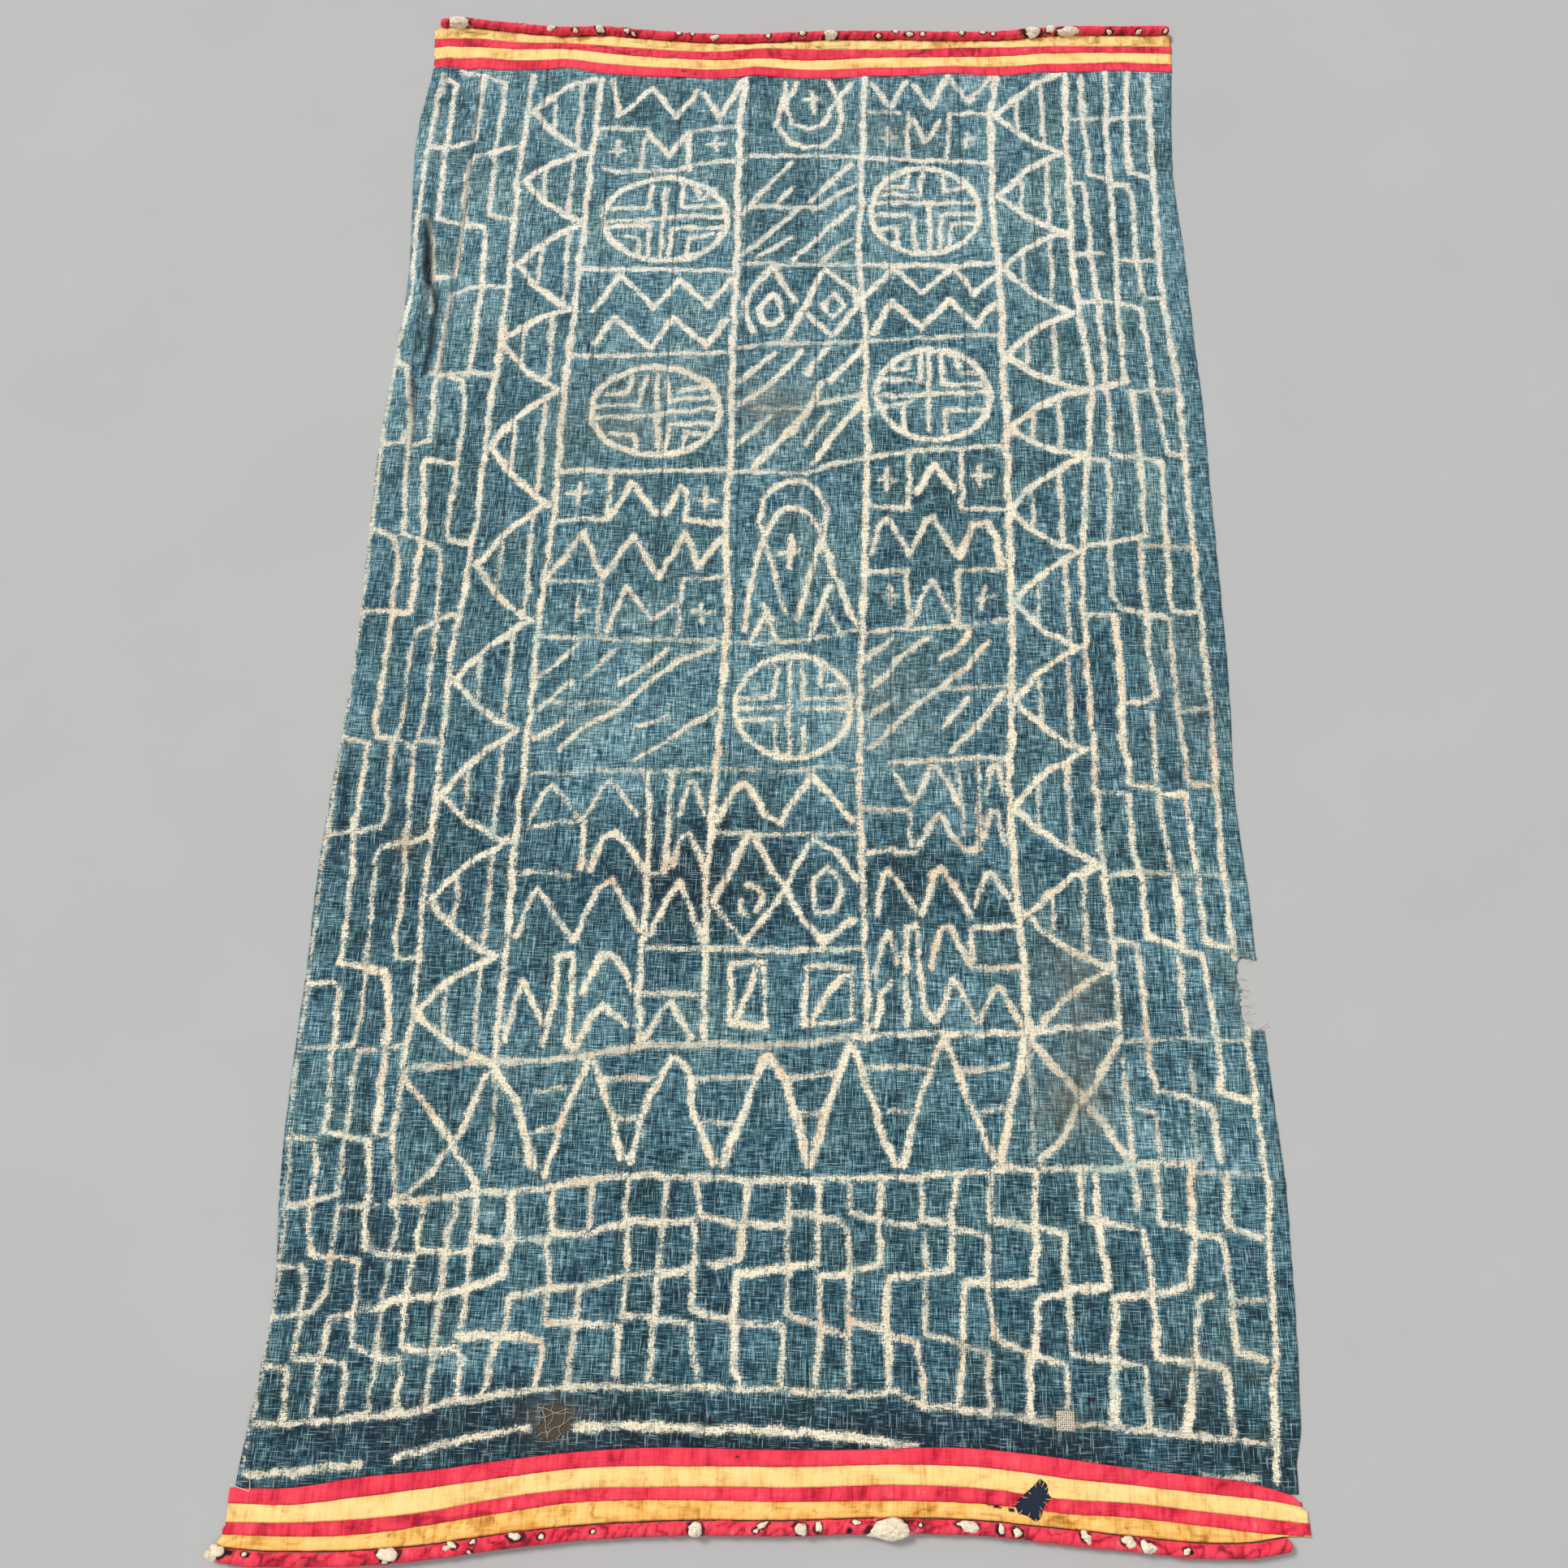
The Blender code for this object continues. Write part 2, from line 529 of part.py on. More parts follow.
def prism(name, outline, cutters):
    """An upright cutter with the outline's shape, taller than any fold."""
    curve = bpy.data.curves.new(name, "CURVE")
    curve.dimensions = "2D"
    curve.fill_mode = "BOTH"
    curve.extrude = CUTTER_HEIGHT / 2
    spline = curve.splines.new("POLY")
    spline.points.add(len(outline) - 1)
    spline.use_cyclic_u = True
    for point, (across, along) in zip(spline.points, outline):
        x, y, _ = metres(across, along)
        point.co = (x, y, 0, 1)
    flat = bpy.data.objects.new(name + "_curve", curve)
    cutters.objects.link(flat)
    bpy.context.view_layer.update()
    mesh = bpy.data.meshes.new_from_object(flat.evaluated_get(bpy.context.evaluated_depsgraph_get()))
    bpy.data.objects.remove(flat, do_unlink=True)
    solid = bmesh.new()
    solid.from_mesh(mesh)
    bmesh.ops.remove_doubles(solid, verts=solid.verts, dist=MERGE_DISTANCE)
    bmesh.ops.recalc_face_normals(solid, faces=solid.faces)
    solid.to_mesh(mesh)
    solid.free()
    obj = bpy.data.objects.new(name, mesh)
    cutters.objects.link(as_cutter(obj))
    return obj


def main():
    clear_scene()
    cloth = collection("ndop_cloth")
    cutters = collection("cutters")

    strips = [woven_strip(number, cloth) for number in range(len(STRIP_SEAMS) + 1)]
    borders = {}
    for end in ("near", "far"):
        for number, (name, _) in enumerate(BORDER_STRIPS):
            borders[f"{end}_{name}"] = border_strip(end, number, cloth)
    facing(cloth)
    near_roll = roll_tube("near_roll", NEAR_ROLL, SEED, cloth)
    far_roll = roll_tube("far_roll", FAR_ROLL, SEED + 1, cloth)

    tufts(NEAR_TUFTS, near_roll, NEAR_ROLL, cloth, cutters)
    tufts(FAR_TUFTS, far_roll, FAR_ROLL, cloth, cutters)

    border_hole = prism("border_hole", BORDER_HOLE, cutters)
    for name in ("near_inner_yellow", "near_outer_red"):
        cut(borders[name], border_hole)
    cut(strips[3], prism("rotted_hole", ROTTED_HOLE, cutters))
    cut(strips[8], prism("darned_hole", DARNED_HOLE, cutters))
    cut(strips[10], prism("edge_tear", EDGE_TEAR, cutters))


main()
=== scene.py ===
"""The looks of a resist-dyed ndop cloth with striped borders and padded rolls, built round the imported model.

Tables are in centimetres from the cloth's own zero point, near the middle of its near end: across, then along.
"""

import math

import bmesh
import bpy
import numpy as np
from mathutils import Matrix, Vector
from mathutils.bvhtree import BVHTree


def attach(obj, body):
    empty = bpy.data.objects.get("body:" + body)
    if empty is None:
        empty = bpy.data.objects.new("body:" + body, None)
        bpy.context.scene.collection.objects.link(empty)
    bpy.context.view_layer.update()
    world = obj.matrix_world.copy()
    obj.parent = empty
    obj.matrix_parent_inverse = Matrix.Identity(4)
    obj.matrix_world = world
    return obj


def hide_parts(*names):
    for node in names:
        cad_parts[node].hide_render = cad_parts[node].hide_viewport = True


SEED = 7
CM = 0.01
MIDDLE_ACROSS = -2.17
MIDDLE_ALONG = 135.05

# Mesh steps and thicknesses, in centimetres
STRIP_STEP = 0.5
BORDER_STEP = 0.3
RELIEF_STEP = 0.5
HOLE_CUTS = 3
STRIP_THICKNESS = 0.16
BORDER_THICKNESS = 0.12
LOWEST_TOP = 0.175

# The camera: its place in the tables, its height and its turn
CAMERA_PLACE = (-0.52, 51.72, 194.8)
CAMERA_TILT = 16.95
CAMERA_ROLL = 1.337
CAMERA_LENS = 27.95
CAMERA_SENSOR = 36.0

# Woven strips: the stretch of the right edge that is torn away, from along, to along
TORN_STRETCH = (70.5, 85.0)

# The resist figures. Each row: width, strength, then the across and along of each point
LEFT_BAND = (
    (0.7, 0.9, -74.3, 259.7, -75.3, 248.4, -75.8, 230.7, -75.9, 224.3, -75.3, 214.9, -75.1, 206.7, -75.9, 199.0),
    (0.6, 0.7, -75.9, 199.0, -76.4, 192.0, -76.9, 176.0, -76.6, 157.5, -76.4, 135.0, -76.9, 116.2, -77.2, 97.2),
    (0.5, 0.6, -77.2, 97.2, -77.0, 78.3, -76.8, 59.4, -75.7, 43.0, -75.3, 30.0, -76.4, 13.4, -76.8, 6.5),
    (0.8, 1.0, -73.1, 258.6, -71.6, 257.5, -72.1, 248.4, -72.1, 224.3, -67.1, 223.1, -63.0, 222.8, -62.2, 221.2,
     -61.8, 211.7, -62.2, 200.0, -62.2, 190.2, -57.9, 189.2),
    (0.6, 0.8, -75.0, 225.0, -73.4, 223.1, -72.4, 219.3, -71.4, 209.8, -71.0, 203.0),
    (0.8, 1.0, -66.1, 259.7, -66.2, 249.6, -66.8, 243.3, -69.9, 242.0, -74.6, 241.5),
    (0.7, 0.9, -70.9, 260.7, -66.1, 259.7, -63.3, 258.5, -61.8, 258.1, -62.0, 249.6, -62.2, 242.0, -62.0, 237.0,
     -62.2, 225.6, -57.0, 224.3),
    (0.8, 1.0, -57.3, 242.5, -61.7, 240.8, -66.1, 239.8, -67.1, 237.6, -67.3, 232.5, -66.8, 224.3, -67.1, 211.1,
     -71.5, 210.4),
    (0.7, 0.9, -57.3, 208.9, -63.0, 208.9, -67.4, 207.0, -68.0, 200.0, -68.3, 189.8, -68.3, 174.7, -71.5, 174.1),
    (0.8, 1.0, -56.3, 260.3, -56.7, 248.4, -57.3, 237.0, -57.0, 220.6, -57.0, 200.0, -57.9, 179.8, -58.0, 160.8,
     -58.5, 150.7, -59.1, 141.9, -59.8, 135.6, -60.0, 119.9, -59.8, 100.4, -60.0, 89.7, -59.6, 80.5, -59.8, 70.1,
     -60.4, 65.7, -60.3, 59.4, -60.6, 53.7, -59.4, 43.6),
    (0.7, 0.9, -76.9, 192.0, -73.7, 190.2, -73.1, 186.7, -72.1, 179.8, -72.0, 173.4, -71.0, 158.3, -71.0, 156.1,
     -66.8, 154.8, -63.9, 152.6, -63.3, 146.3, -63.0, 133.7, -63.5, 120.4),
    (0.6, 0.8, -76.2, 174.4, -73.1, 174.3, -72.4, 178.5),
    (0.7, 0.9, -69.9, 189.5, -66.1, 188.5, -63.3, 188.0, -62.6, 179.8, -62.5, 174.7, -62.8, 165.9, -63.0, 159.6,
     -62.6, 155.1, -58.9, 154.3),
    (0.6, 0.8, -69.9, 189.5, -57.9, 189.5),
    (0.8, 1.0, -63.0, 170.4, -68.6, 171.2, -68.8, 169.7, -68.0, 164.0, -67.4, 157.0, -67.7, 148.2, -67.9, 140.9,
     -75.6, 140.8),
    (0.8, 0.9, -77.0, 157.3, -72.4, 155.1, -71.3, 152.6, -71.0, 133.7, -71.6, 120.4, -71.2, 117.7, -66.8, 117.1,
     -64.5, 115.8, -64.5, 111.1, -64.0, 101.6, -63.6, 94.1, -63.8, 84.6, -63.5, 80.5, -59.5, 80.5),
    (0.6, 0.8, -60.1, 140.6, -63.0, 139.4, -66.4, 137.5, -67.1, 133.0, -66.9, 120.4),
    (0.7, 0.8, -63.5, 120.4, -64.2, 117.4, -60.1, 117.1),
    (0.7, 0.9, -66.9, 120.4, -68.1, 116.8, -68.1, 109.8, -67.7, 103.5, -68.5, 102.0, -71.5, 101.3, -76.8, 100.7),
    (0.8, 1.0, -76.8, 117.7, -72.4, 116.7, -72.6, 109.8, -72.7, 101.6, -72.1, 94.1, -72.1, 79.2, -68.0, 78.9),
    (1.1, 1.0, -68.0, 78.9, -64.9, 78.3, -63.9, 74.5, -63.3, 68.8, -63.3, 60.6, -63.3, 54.0),
    (0.7, 0.9, -60.1, 100.7, -63.6, 99.4, -68.0, 98.8, -68.4, 97.2, -68.5, 90.9, -68.0, 84.6, -67.8, 72.0,
     -68.5, 66.9, -72.0, 66.2),
    (0.5, 0.5, -72.0, 66.2, -76.8, 65.7),
    (0.8, 1.0, -76.8, 76.1, -73.1, 76.5, -72.0, 75.8, -71.6, 69.5, -71.5, 60.6, -71.0, 53.4, -64.2, 52.4,
     -63.9, 49.9, -63.3, 43.6, -63.1, 37.0, -59.8, 36.1, -55.7, 35.8, -55.9, 31.7, -55.7, 23.5, -51.6, 22.9,
     -47.8, 23.5, -46.9, 22.2, -47.2, 16.6),
    (0.7, 0.8, -60.4, 66.7, -67.4, 65.7, -67.9, 61.9, -67.7, 53.7),
    (0.7, 0.9, -76.5, 52.6, -72.7, 52.4, -72.1, 49.9, -71.8, 39.8, -71.0, 35.8, -66.8, 35.5, -63.6, 34.9,
     -63.3, 31.1, -63.3, 23.5, -60.1, 22.2, -55.7, 21.8, -55.7, 15.0),
    (0.6, 0.8, -60.4, 53.7, -63.6, 53.0),
    (0.7, 0.8, -68.0, 52.4, -68.1, 44.2, -75.6, 42.6),
    (0.6, 0.8, -61.7, 42.8, -67.7, 42.8, -68.0, 30.5, -69.6, 27.9, -75.6, 26.8),
    (0.7, 0.9, -75.6, 34.1, -72.1, 34.4, -71.2, 31.7, -71.5, 21.6, -63.9, 21.3, -63.6, 15.3),
    (0.7, 0.9, -60.1, 28.6, -64.2, 27.9, -67.1, 27.0, -67.5, 22.2, -67.9, 14.0),
    (0.7, 0.9, -76.2, 20.4, -72.4, 20.4, -71.8, 13.6),
)
FRAME_LINES = (
    (0.9, 1.0, -42.1, 259.7, -43.1, 241.0, -43.4, 221.0, -44.0, 200.0, -44.4, 180.0, -44.4, 161.0, -45.3, 142.0,
     -45.4, 120.0, -46.1, 97.0, -45.8, 85.0, -46.1, 65.7),
    (0.5, 0.7, -46.1, 65.7, -45.3, 56.0, -45.9, 48.0),
    (1.0, 1.0, -13.1, 260.0, -13.9, 252.0, -13.8, 231.0, -13.4, 221.0, -13.6, 199.0, -13.1, 173.0, -13.6, 161.0,
     -12.5, 142.0, -13.1, 120.0, -14.1, 97.0, -14.1, 85.0, -13.5, 69.0),
    (0.9, 1.0, 10.8, 261.0, 10.6, 242.0, 10.0, 216.0, 11.6, 197.0, 11.3, 185.0, 11.8, 176.0, 11.6, 163.0,
     11.2, 143.0, 10.8, 130.0, 10.8, 110.0, 11.2, 97.0, 11.8, 84.0, 12.1, 69.5),
    (1.1, 1.0, 37.6, 262.0, 36.3, 252.0, 36.0, 229.0, 36.8, 217.0, 37.3, 203.0, 36.9, 197.0, 37.3, 185.0,
     37.1, 160.0, 37.1, 146.0, 36.9, 133.0, 36.3, 120.0, 35.6, 113.0, 36.0, 97.0, 36.9, 87.0, 37.5, 71.0),
    (0.5, 0.5, 37.5, 71.0, 37.6, 51.5),
    (0.9, 1.0, 51.6, 263.4, 51.2, 252.4, 51.2, 229.6, 51.0, 220.5, 51.2, 212.7, 51.9, 204.2, 52.9, 196.6,
     53.4, 189.4, 52.2, 176.5, 51.2, 168.7, 50.3, 158.3, 49.6, 146.6, 49.7, 130.4, 50.1, 122.5, 50.3, 103.0,
     51.2, 90.0, 51.9, 80.2, 52.1, 71.8),
    (1.0, 0.7, -59.8, 63.2, -53.0, 64.0, -46.2, 64.7, -38.4, 65.0, -30.0, 66.3, -22.0, 67.6),
    (1.0, 0.6, -22.0, 67.6, -9.0, 68.2, 0.0, 68.2, 10.0, 69.7),
    (0.9, 1.0, 10.0, 69.7, 20.0, 70.4, 37.3, 70.9, 45.0, 72.0, 51.6, 72.9),
    (0.5, 0.6, 52.9, 69.9, 62.0, 70.6, 72.3, 70.6),
    (0.9, 0.9, -59.8, 43.2, -47.2, 45.1, -38.4, 45.8, -30.0, 47.4, -22.0, 48.3, -10.0, 48.1, 0.0, 48.0, 10.0, 48.4,
     20.0, 49.0, 32.0, 50.3, 49.0, 51.0, 55.0, 51.6, 62.0, 52.2),
    (0.5, 0.5, 62.0, 50.8, 72.3, 50.4),
    (0.8, 0.9, -75.9, 12.8, -70.0, 13.1, -60.0, 14.1, -53.5, 15.0, -47.0, 16.6, -40.0, 17.8, -30.0, 18.8,
     -20.0, 19.1, 0.0, 19.1, 10.0, 18.7, 16.0, 19.3, 20.4, 17.7, 30.0, 16.7),
    (0.7, 0.6, 30.0, 16.7, 40.0, 15.7, 50.0, 15.3),
    (0.7, 0.8, 50.0, 15.0, 60.0, 14.4, 70.4, 13.8),
    (0.9, 0.8, -76.2, 6.2, -70.0, 6.6, -65.0, 7.6, -60.0, 8.2),
    (0.8, 1.0, -55.0, 9.1, -47.0, 11.2, -38.4, 13.1, -36.3, 13.2),
    (1.0, 1.0, -29.5, 13.7, -24.0, 14.0, -10.0, 13.8, 0.0, 13.7, 10.0, 13.3, 15.0, 12.7, 19.1, 12.2),
    (0.5, 0.8, 42.5, 10.8, 45.4, 10.7),
    (0.6, 0.7, 60.0, 9.2, 67.8, 9.3),
)
LEFT_CELLS = (
    (0.8, 1.0, -39.9, 259.7, -38.4, 250.0, -32.1, 257.5, -26.7, 250.3, -22.6, 257.2),
    (0.9, 1.0, -21.3, 256.6, -18.2, 250.3, -14.1, 259.4),
    (0.7, 0.8, -42.0, 247.3, -32.4, 247.1, -33.0, 243.0, -33.3, 237.0),
    (0.9, 1.0, -32.4, 246.5, -27.9, 240.8, -24.2, 246.5, -23.5, 237.2),
    (0.6, 0.8, -23.5, 247.0, -14.0, 248.4),
    (0.5, 0.9, -38.0, 244.2, -38.0, 240.5), (0.5, 0.8, -39.6, 241.5, -36.4, 242.0),
    (0.5, 0.9, -18.6, 245.5, -18.4, 242.0), (0.5, 0.8, -20.0, 243.6, -17.0, 243.8),
    (0.7, 0.9, -40.5, 237.0, -37.0, 236.5, -33.3, 236.9, -26.0, 237.1, -23.0, 238.5, -17.5, 239.6, -13.0, 239.8),
    (0.7, 0.9, -43.4, 213.3, -30.0, 213.7, -13.8, 213.5),
    (0.9, 1.0, -40.3, 203.9, -35.8, 212.4, -28.6, 204.9, -24.2, 211.5, -18.5, 205.5, -14.4, 211.8),
    (0.9, 1.0, -39.6, 196.8, -36.2, 202.5, -28.9, 195.8, -25.1, 202.8, -18.5, 196.8, -15.0, 202.5),
    (0.6, 0.9, -43.4, 193.9, -30.0, 194.3, -13.8, 195.5),
    (0.8, 0.9, -44.4, 169.4, -30.0, 169.8, -13.1, 170.2),
    (0.5, 0.9, -39.9, 167.2, -39.9, 162.8), (0.7, 0.8, -42.0, 165.1, -38.0, 165.1),
    (0.5, 0.9, -17.3, 166.5, -17.2, 161.8), (0.5, 0.9, -19.5, 164.1, -15.0, 164.0),
    (0.7, 0.9, -34.7, 169.4, -34.7, 160.0, -44.0, 159.3),
    (1.0, 1.0, -34.0, 160.4, -30.8, 167.5, -26.1, 161.0),
    (0.8, 1.0, -24.5, 161.0, -22.0, 166.5, -20.8, 165.6, -20.8, 160.0, -13.6, 159.4),
    (0.9, 0.9, -44.4, 147.9, -38.7, 157.0, -34.6, 148.2, -29.8, 156.7, -24.8, 148.6, -20.4, 158.0, -18.2, 150.7,
     -13.9, 156.8),
    (0.6, 0.7, -44.4, 147.5, -34.9, 147.7, -34.9, 137.6),
    (0.7, 0.9, -33.3, 138.2, -30.5, 146.4, -25.4, 140.4, -21.8, 143.8),
    (0.6, 0.9, -21.0, 137.5, -20.9, 148.4, -13.0, 148.8),
    (0.5, 0.8, -38.7, 144.6, -39.0, 140.2), (0.5, 0.8, -38.7, 141.8, -36.6, 141.8),
    (0.5, 0.9, -16.9, 144.0, -16.9, 140.4), (0.7, 0.9, -18.4, 142.2, -14.8, 142.2),
    (0.7, 0.9, -45.3, 136.6, -38.0, 136.7), (0.5, 0.6, -38.0, 136.7, -13.0, 136.7),
    (0.7, 0.9, -44.7, 129.0, -38.0, 135.6), (0.7, 0.8, -36.0, 129.5, -31.7, 134.8),
    (0.8, 0.9, -30.5, 128.5, -26.5, 131.0, -22.9, 134.8),
    (0.9, 0.9, -40.0, 116.4, -36.0, 120.5, -30.0, 124.0, -25.0, 129.2, -20.0, 133.2, -14.8, 135.3),
    (0.8, 0.9, -44.0, 123.5, -38.7, 128.4), (0.7, 0.6, -41.0, 124.6, -30.0, 124.9),
    (0.9, 0.9, -44.0, 118.0, -39.6, 121.2), (0.7, 0.9, -27.0, 120.8, -22.0, 122.4),
    (0.7, 0.9, -27.5, 114.8, -24.0, 116.8, -20.0, 119.3, -13.8, 124.2),
    (0.5, 0.6, -45.0, 111.7, -34.0, 112.6, -13.0, 113.2),
    (0.7, 0.9, -44.0, 103.5, -42.2, 108.0, -40.6, 110.2, -35.2, 103.8, -31.1, 111.2, -26.1, 105.1),
    (0.6, 0.9, -44.0, 102.6, -35.2, 103.8), (0.9, 1.0, -34.8, 103.5, -34.8, 95.6),
    (0.9, 1.0, -24.8, 112.7, -24.0, 103.0, -23.8, 90.0, -24.1, 78.0, -23.6, 67.6),
    (0.9, 0.9, -20.9, 112.4, -21.0, 95.3), (0.7, 0.9, -19.1, 105.4, -17.9, 111.1, -17.0, 111.0, -15.0, 105.4),
    (1.0, 1.0, -33.3, 95.3, -31.6, 101.0, -29.5, 102.2, -27.0, 99.8, -24.5, 96.0),
    (0.8, 1.0, -19.7, 96.6, -18.9, 101.5, -17.4, 102.0, -14.7, 96.3),
    (0.8, 0.8, -45.0, 94.8, -40.0, 95.1, -36.5, 94.6), (0.6, 0.8, -23.5, 95.3, -21.0, 95.1),
    (0.9, 1.0, -44.4, 84.3, -43.0, 90.0, -41.5, 92.5, -38.5, 88.0, -35.2, 84.0, -31.5, 92.6, -29.5, 94.3,
     -24.8, 85.9),
    (0.8, 1.0, -22.9, 85.2, -20.5, 91.0, -18.5, 93.8, -16.6, 90.0, -14.7, 84.6),
    (0.8, 0.9, -23.0, 83.0, -11.0, 83.0),
    (0.9, 1.0, -44.7, 68.2, -43.8, 74.0, -42.8, 77.4, -39.0, 70.5),
    (0.9, 1.0, -38.6, 67.4, -37.4, 75.0, -37.5, 81.3, -35.0, 81.9, -34.8, 75.0, -34.8, 67.5),
    (1.0, 1.0, -33.0, 75.8, -30.5, 82.0, -28.0, 81.5, -25.1, 76.4),
    (1.0, 1.0, -34.0, 66.6, -31.6, 71.5, -29.8, 74.0, -25.9, 70.8),
    (0.9, 0.9, -22.6, 68.8, -20.6, 73.4, -19.1, 74.6, -15.3, 68.8), (0.7, 0.8, -23.0, 75.8, -15.0, 75.6),
)
CENTRE_CELLS = (
    (0.8, 1.0, -5.2, 259.7, -5.2, 256.0, -6.8, 249.0, -3.7, 244.4, 0.0, 243.4, 2.6, 243.7, 5.8, 247.0, 6.4, 252.0,
     4.9, 257.8, 3.6, 260.0),
    (0.8, 1.0, -2.7, 259.7, -4.9, 254.0, -3.7, 249.2, -0.5, 247.8, 2.6, 249.0, 4.4, 253.5, 8.3, 259.8),
    (0.7, 0.9, -1.2, 255.4, 2.0, 255.6), (0.7, 1.0, 0.2, 257.2, 0.7, 252.0),
    (0.7, 0.9, -12.0, 241.1, 0.0, 241.4, 10.0, 241.3, 20.0, 240.6, 30.0, 240.6, 36.0, 240.3),
    (0.8, 0.9, -12.5, 226.9, -9.0, 232.5, -3.5, 239.5), (0.8, 0.9, -6.5, 228.8, -3.0, 233.6),
    (0.8, 0.9, 0.7, 230.5, 8.4, 239.5), (0.8, 0.8, 1.0, 228.0, 9.4, 234.4),
    (0.7, 0.7, -11.5, 228.6, 3.0, 228.8), (0.8, 0.8, -12.5, 217.3, -7.0, 222.8, -1.6, 228.8),
    (0.8, 0.9, -9.5, 216.8, -3.0, 221.5), (0.8, 1.0, -2.4, 216.8, 3.4, 223.0, 8.8, 229.0),
    (0.8, 0.8, 3.2, 216.6, 8.8, 221.7), (0.6, 0.7, -13.0, 215.3, 0.0, 215.5, 10.0, 215.4),
    (0.9, 1.0, -7.2, 214.0, -10.6, 209.0, -11.7, 204.2, -9.8, 200.4),
    (1.0, 1.0, -6.2, 214.7, -3.8, 210.0, -2.1, 207.1),
    (0.8, 1.0, -6.4, 208.5, -9.0, 205.1, -8.2, 202.3, -6.4, 201.6, -4.5, 203.4, -5.0, 206.8, -6.4, 208.5),
    (1.0, 1.0, -3.6, 198.6, -0.2, 205.6, 2.7, 213.3), (0.8, 1.0, 3.7, 214.3, 9.4, 209.5, 9.7, 206.1, 5.6, 199.4),
    (0.9, 1.0, 0.3, 204.2, 4.9, 199.4),
    (0.7, 1.0, 5.3, 208.9, 3.2, 206.4, 5.1, 203.7, 7.5, 206.2, 5.3, 208.9),
    (0.6, 0.7, -13.4, 195.8, -8.0, 197.2, 0.0, 197.8, 10.0, 198.2),
    (0.9, 1.0, -12.0, 189.0, -5.7, 195.2), (0.9, 1.0, -11.5, 184.1, -6.0, 189.0, -0.5, 195.8),
    (0.9, 1.0, 0.3, 190.8, 4.1, 196.7), (1.0, 1.0, 4.8, 189.6, 10.8, 197.0),
    (0.5, 0.6, -8.8, 183.2, 0.0, 183.6), (0.8, 0.8, 2.5, 184.6, 10.6, 186.5),
    (0.8, 0.9, -11.7, 175.8, -5.7, 182.2), (1.1, 1.0, -8.8, 171.4, -1.6, 179.3, 1.4, 184.5, 3.2, 188.8),
    (0.7, 0.8, 0.5, 176.0, 4.6, 182.4), (1.0, 1.0, 2.0, 172.2, 6.0, 179.0, 10.8, 184.8),
    (0.8, 0.9, 4.0, 171.3, 11.5, 173.5), (0.6, 0.8, -13.0, 170.2, 0.0, 170.0, 4.0, 171.3),
    (0.8, 1.0, -6.5, 157.0, -7.3, 160.0, -7.0, 164.5, -5.0, 167.1, -2.5, 168.3, -0.2, 168.3, 2.6, 166.8,
     4.6, 163.0, 4.3, 158.6),
    (0.8, 1.0, -5.9, 157.8, -4.7, 161.5, -2.5, 162.8, -0.6, 162.8, 1.5, 161.3, 3.2, 158.8, 6.0, 150.0, 9.8, 140.5),
    (0.9, 1.0, 4.2, 158.0, 1.6, 149.0, -0.3, 141.0), (0.8, 1.0, -6.5, 157.0, -8.4, 149.0, -9.5, 139.0),
    (0.8, 0.9, -6.5, 157.0, -4.4, 149.0, -2.4, 142.2),
    (0.9, 1.0, -1.7, 157.4, -1.9, 151.0), (0.9, 0.9, -3.4, 153.6, -0.4, 154.0),
    (0.8, 1.0, -8.4, 136.8, -5.9, 141.8, -3.9, 137.0), (0.8, 1.0, -6.5, 144.0, -4.6, 141.0),
    (0.9, 1.0, 1.9, 136.8, 3.0, 142.0, 5.3, 147.6), (0.6, 0.9, 4.3, 144.8, 7.4, 138.4),
    (0.6, 0.7, -12.6, 136.3, -4.0, 136.3, 1.0, 137.0, 10.0, 139.4),
    (0.5, 0.6, -13.0, 113.2, 0.0, 113.4, 6.0, 114.2, 11.0, 113.9),
    (1.0, 1.0, -12.8, 104.5, -10.4, 109.6, -8.4, 111.2, -5.0, 106.0, -2.4, 103.8, 0.4, 109.0, 2.8, 112.6,
     9.6, 104.8),
    (0.6, 0.8, -13.5, 102.4, -4.0, 102.2, 9.8, 102.9),
    (1.1, 1.0, -12.8, 91.0, -9.8, 97.0, -7.8, 101.8), (1.1, 1.0, -6.2, 101.2, -3.4, 96.0, -0.8, 93.0),
    (0.8, 1.0, -12.5, 90.0, -7.6, 84.2), (0.9, 1.0, -7.6, 84.2, -3.0, 90.3, -1.4, 93.0, 0.4, 97.4, 3.0, 101.1),
    (0.9, 1.0, 3.0, 101.3, 6.5, 100.0, 10.2, 95.2), (1.0, 1.0, -1.0, 93.0, 1.5, 88.5, 5.2, 84.6, 9.8, 88.2),
    (0.7, 0.9, -8.6, 91.6, -8.4, 89.2, -7.2, 88.6), (0.8, 0.9, -7.6, 93.6, -5.6, 93.4, -4.8, 91.2, -5.8, 89.4),
    (0.7, 0.9, 5.4, 96.7, 3.5, 95.0, 3.0, 91.8, 4.4, 89.4, 7.0, 89.8, 8.0, 92.8, 7.0, 95.6, 5.4, 96.7),
    (0.8, 0.9, -13.0, 83.0, 0.0, 82.9, 6.0, 83.4, 11.4, 83.8),
    (0.8, 1.0, -9.6, 71.3, -9.6, 80.9, -4.2, 80.9, -3.9, 71.0, -9.6, 71.2),
    (1.2, 1.0, -8.5, 71.6, -5.6, 79.6),
    (0.9, 1.0, 2.2, 72.0, 2.3, 80.6, 9.6, 80.8), (0.6, 0.9, 9.7, 80.6, 9.7, 73.5),
    (0.8, 1.0, 2.2, 71.5, 9.8, 72.4), (1.0, 1.0, 3.2, 72.3, 6.0, 76.8, 8.8, 79.4),
)
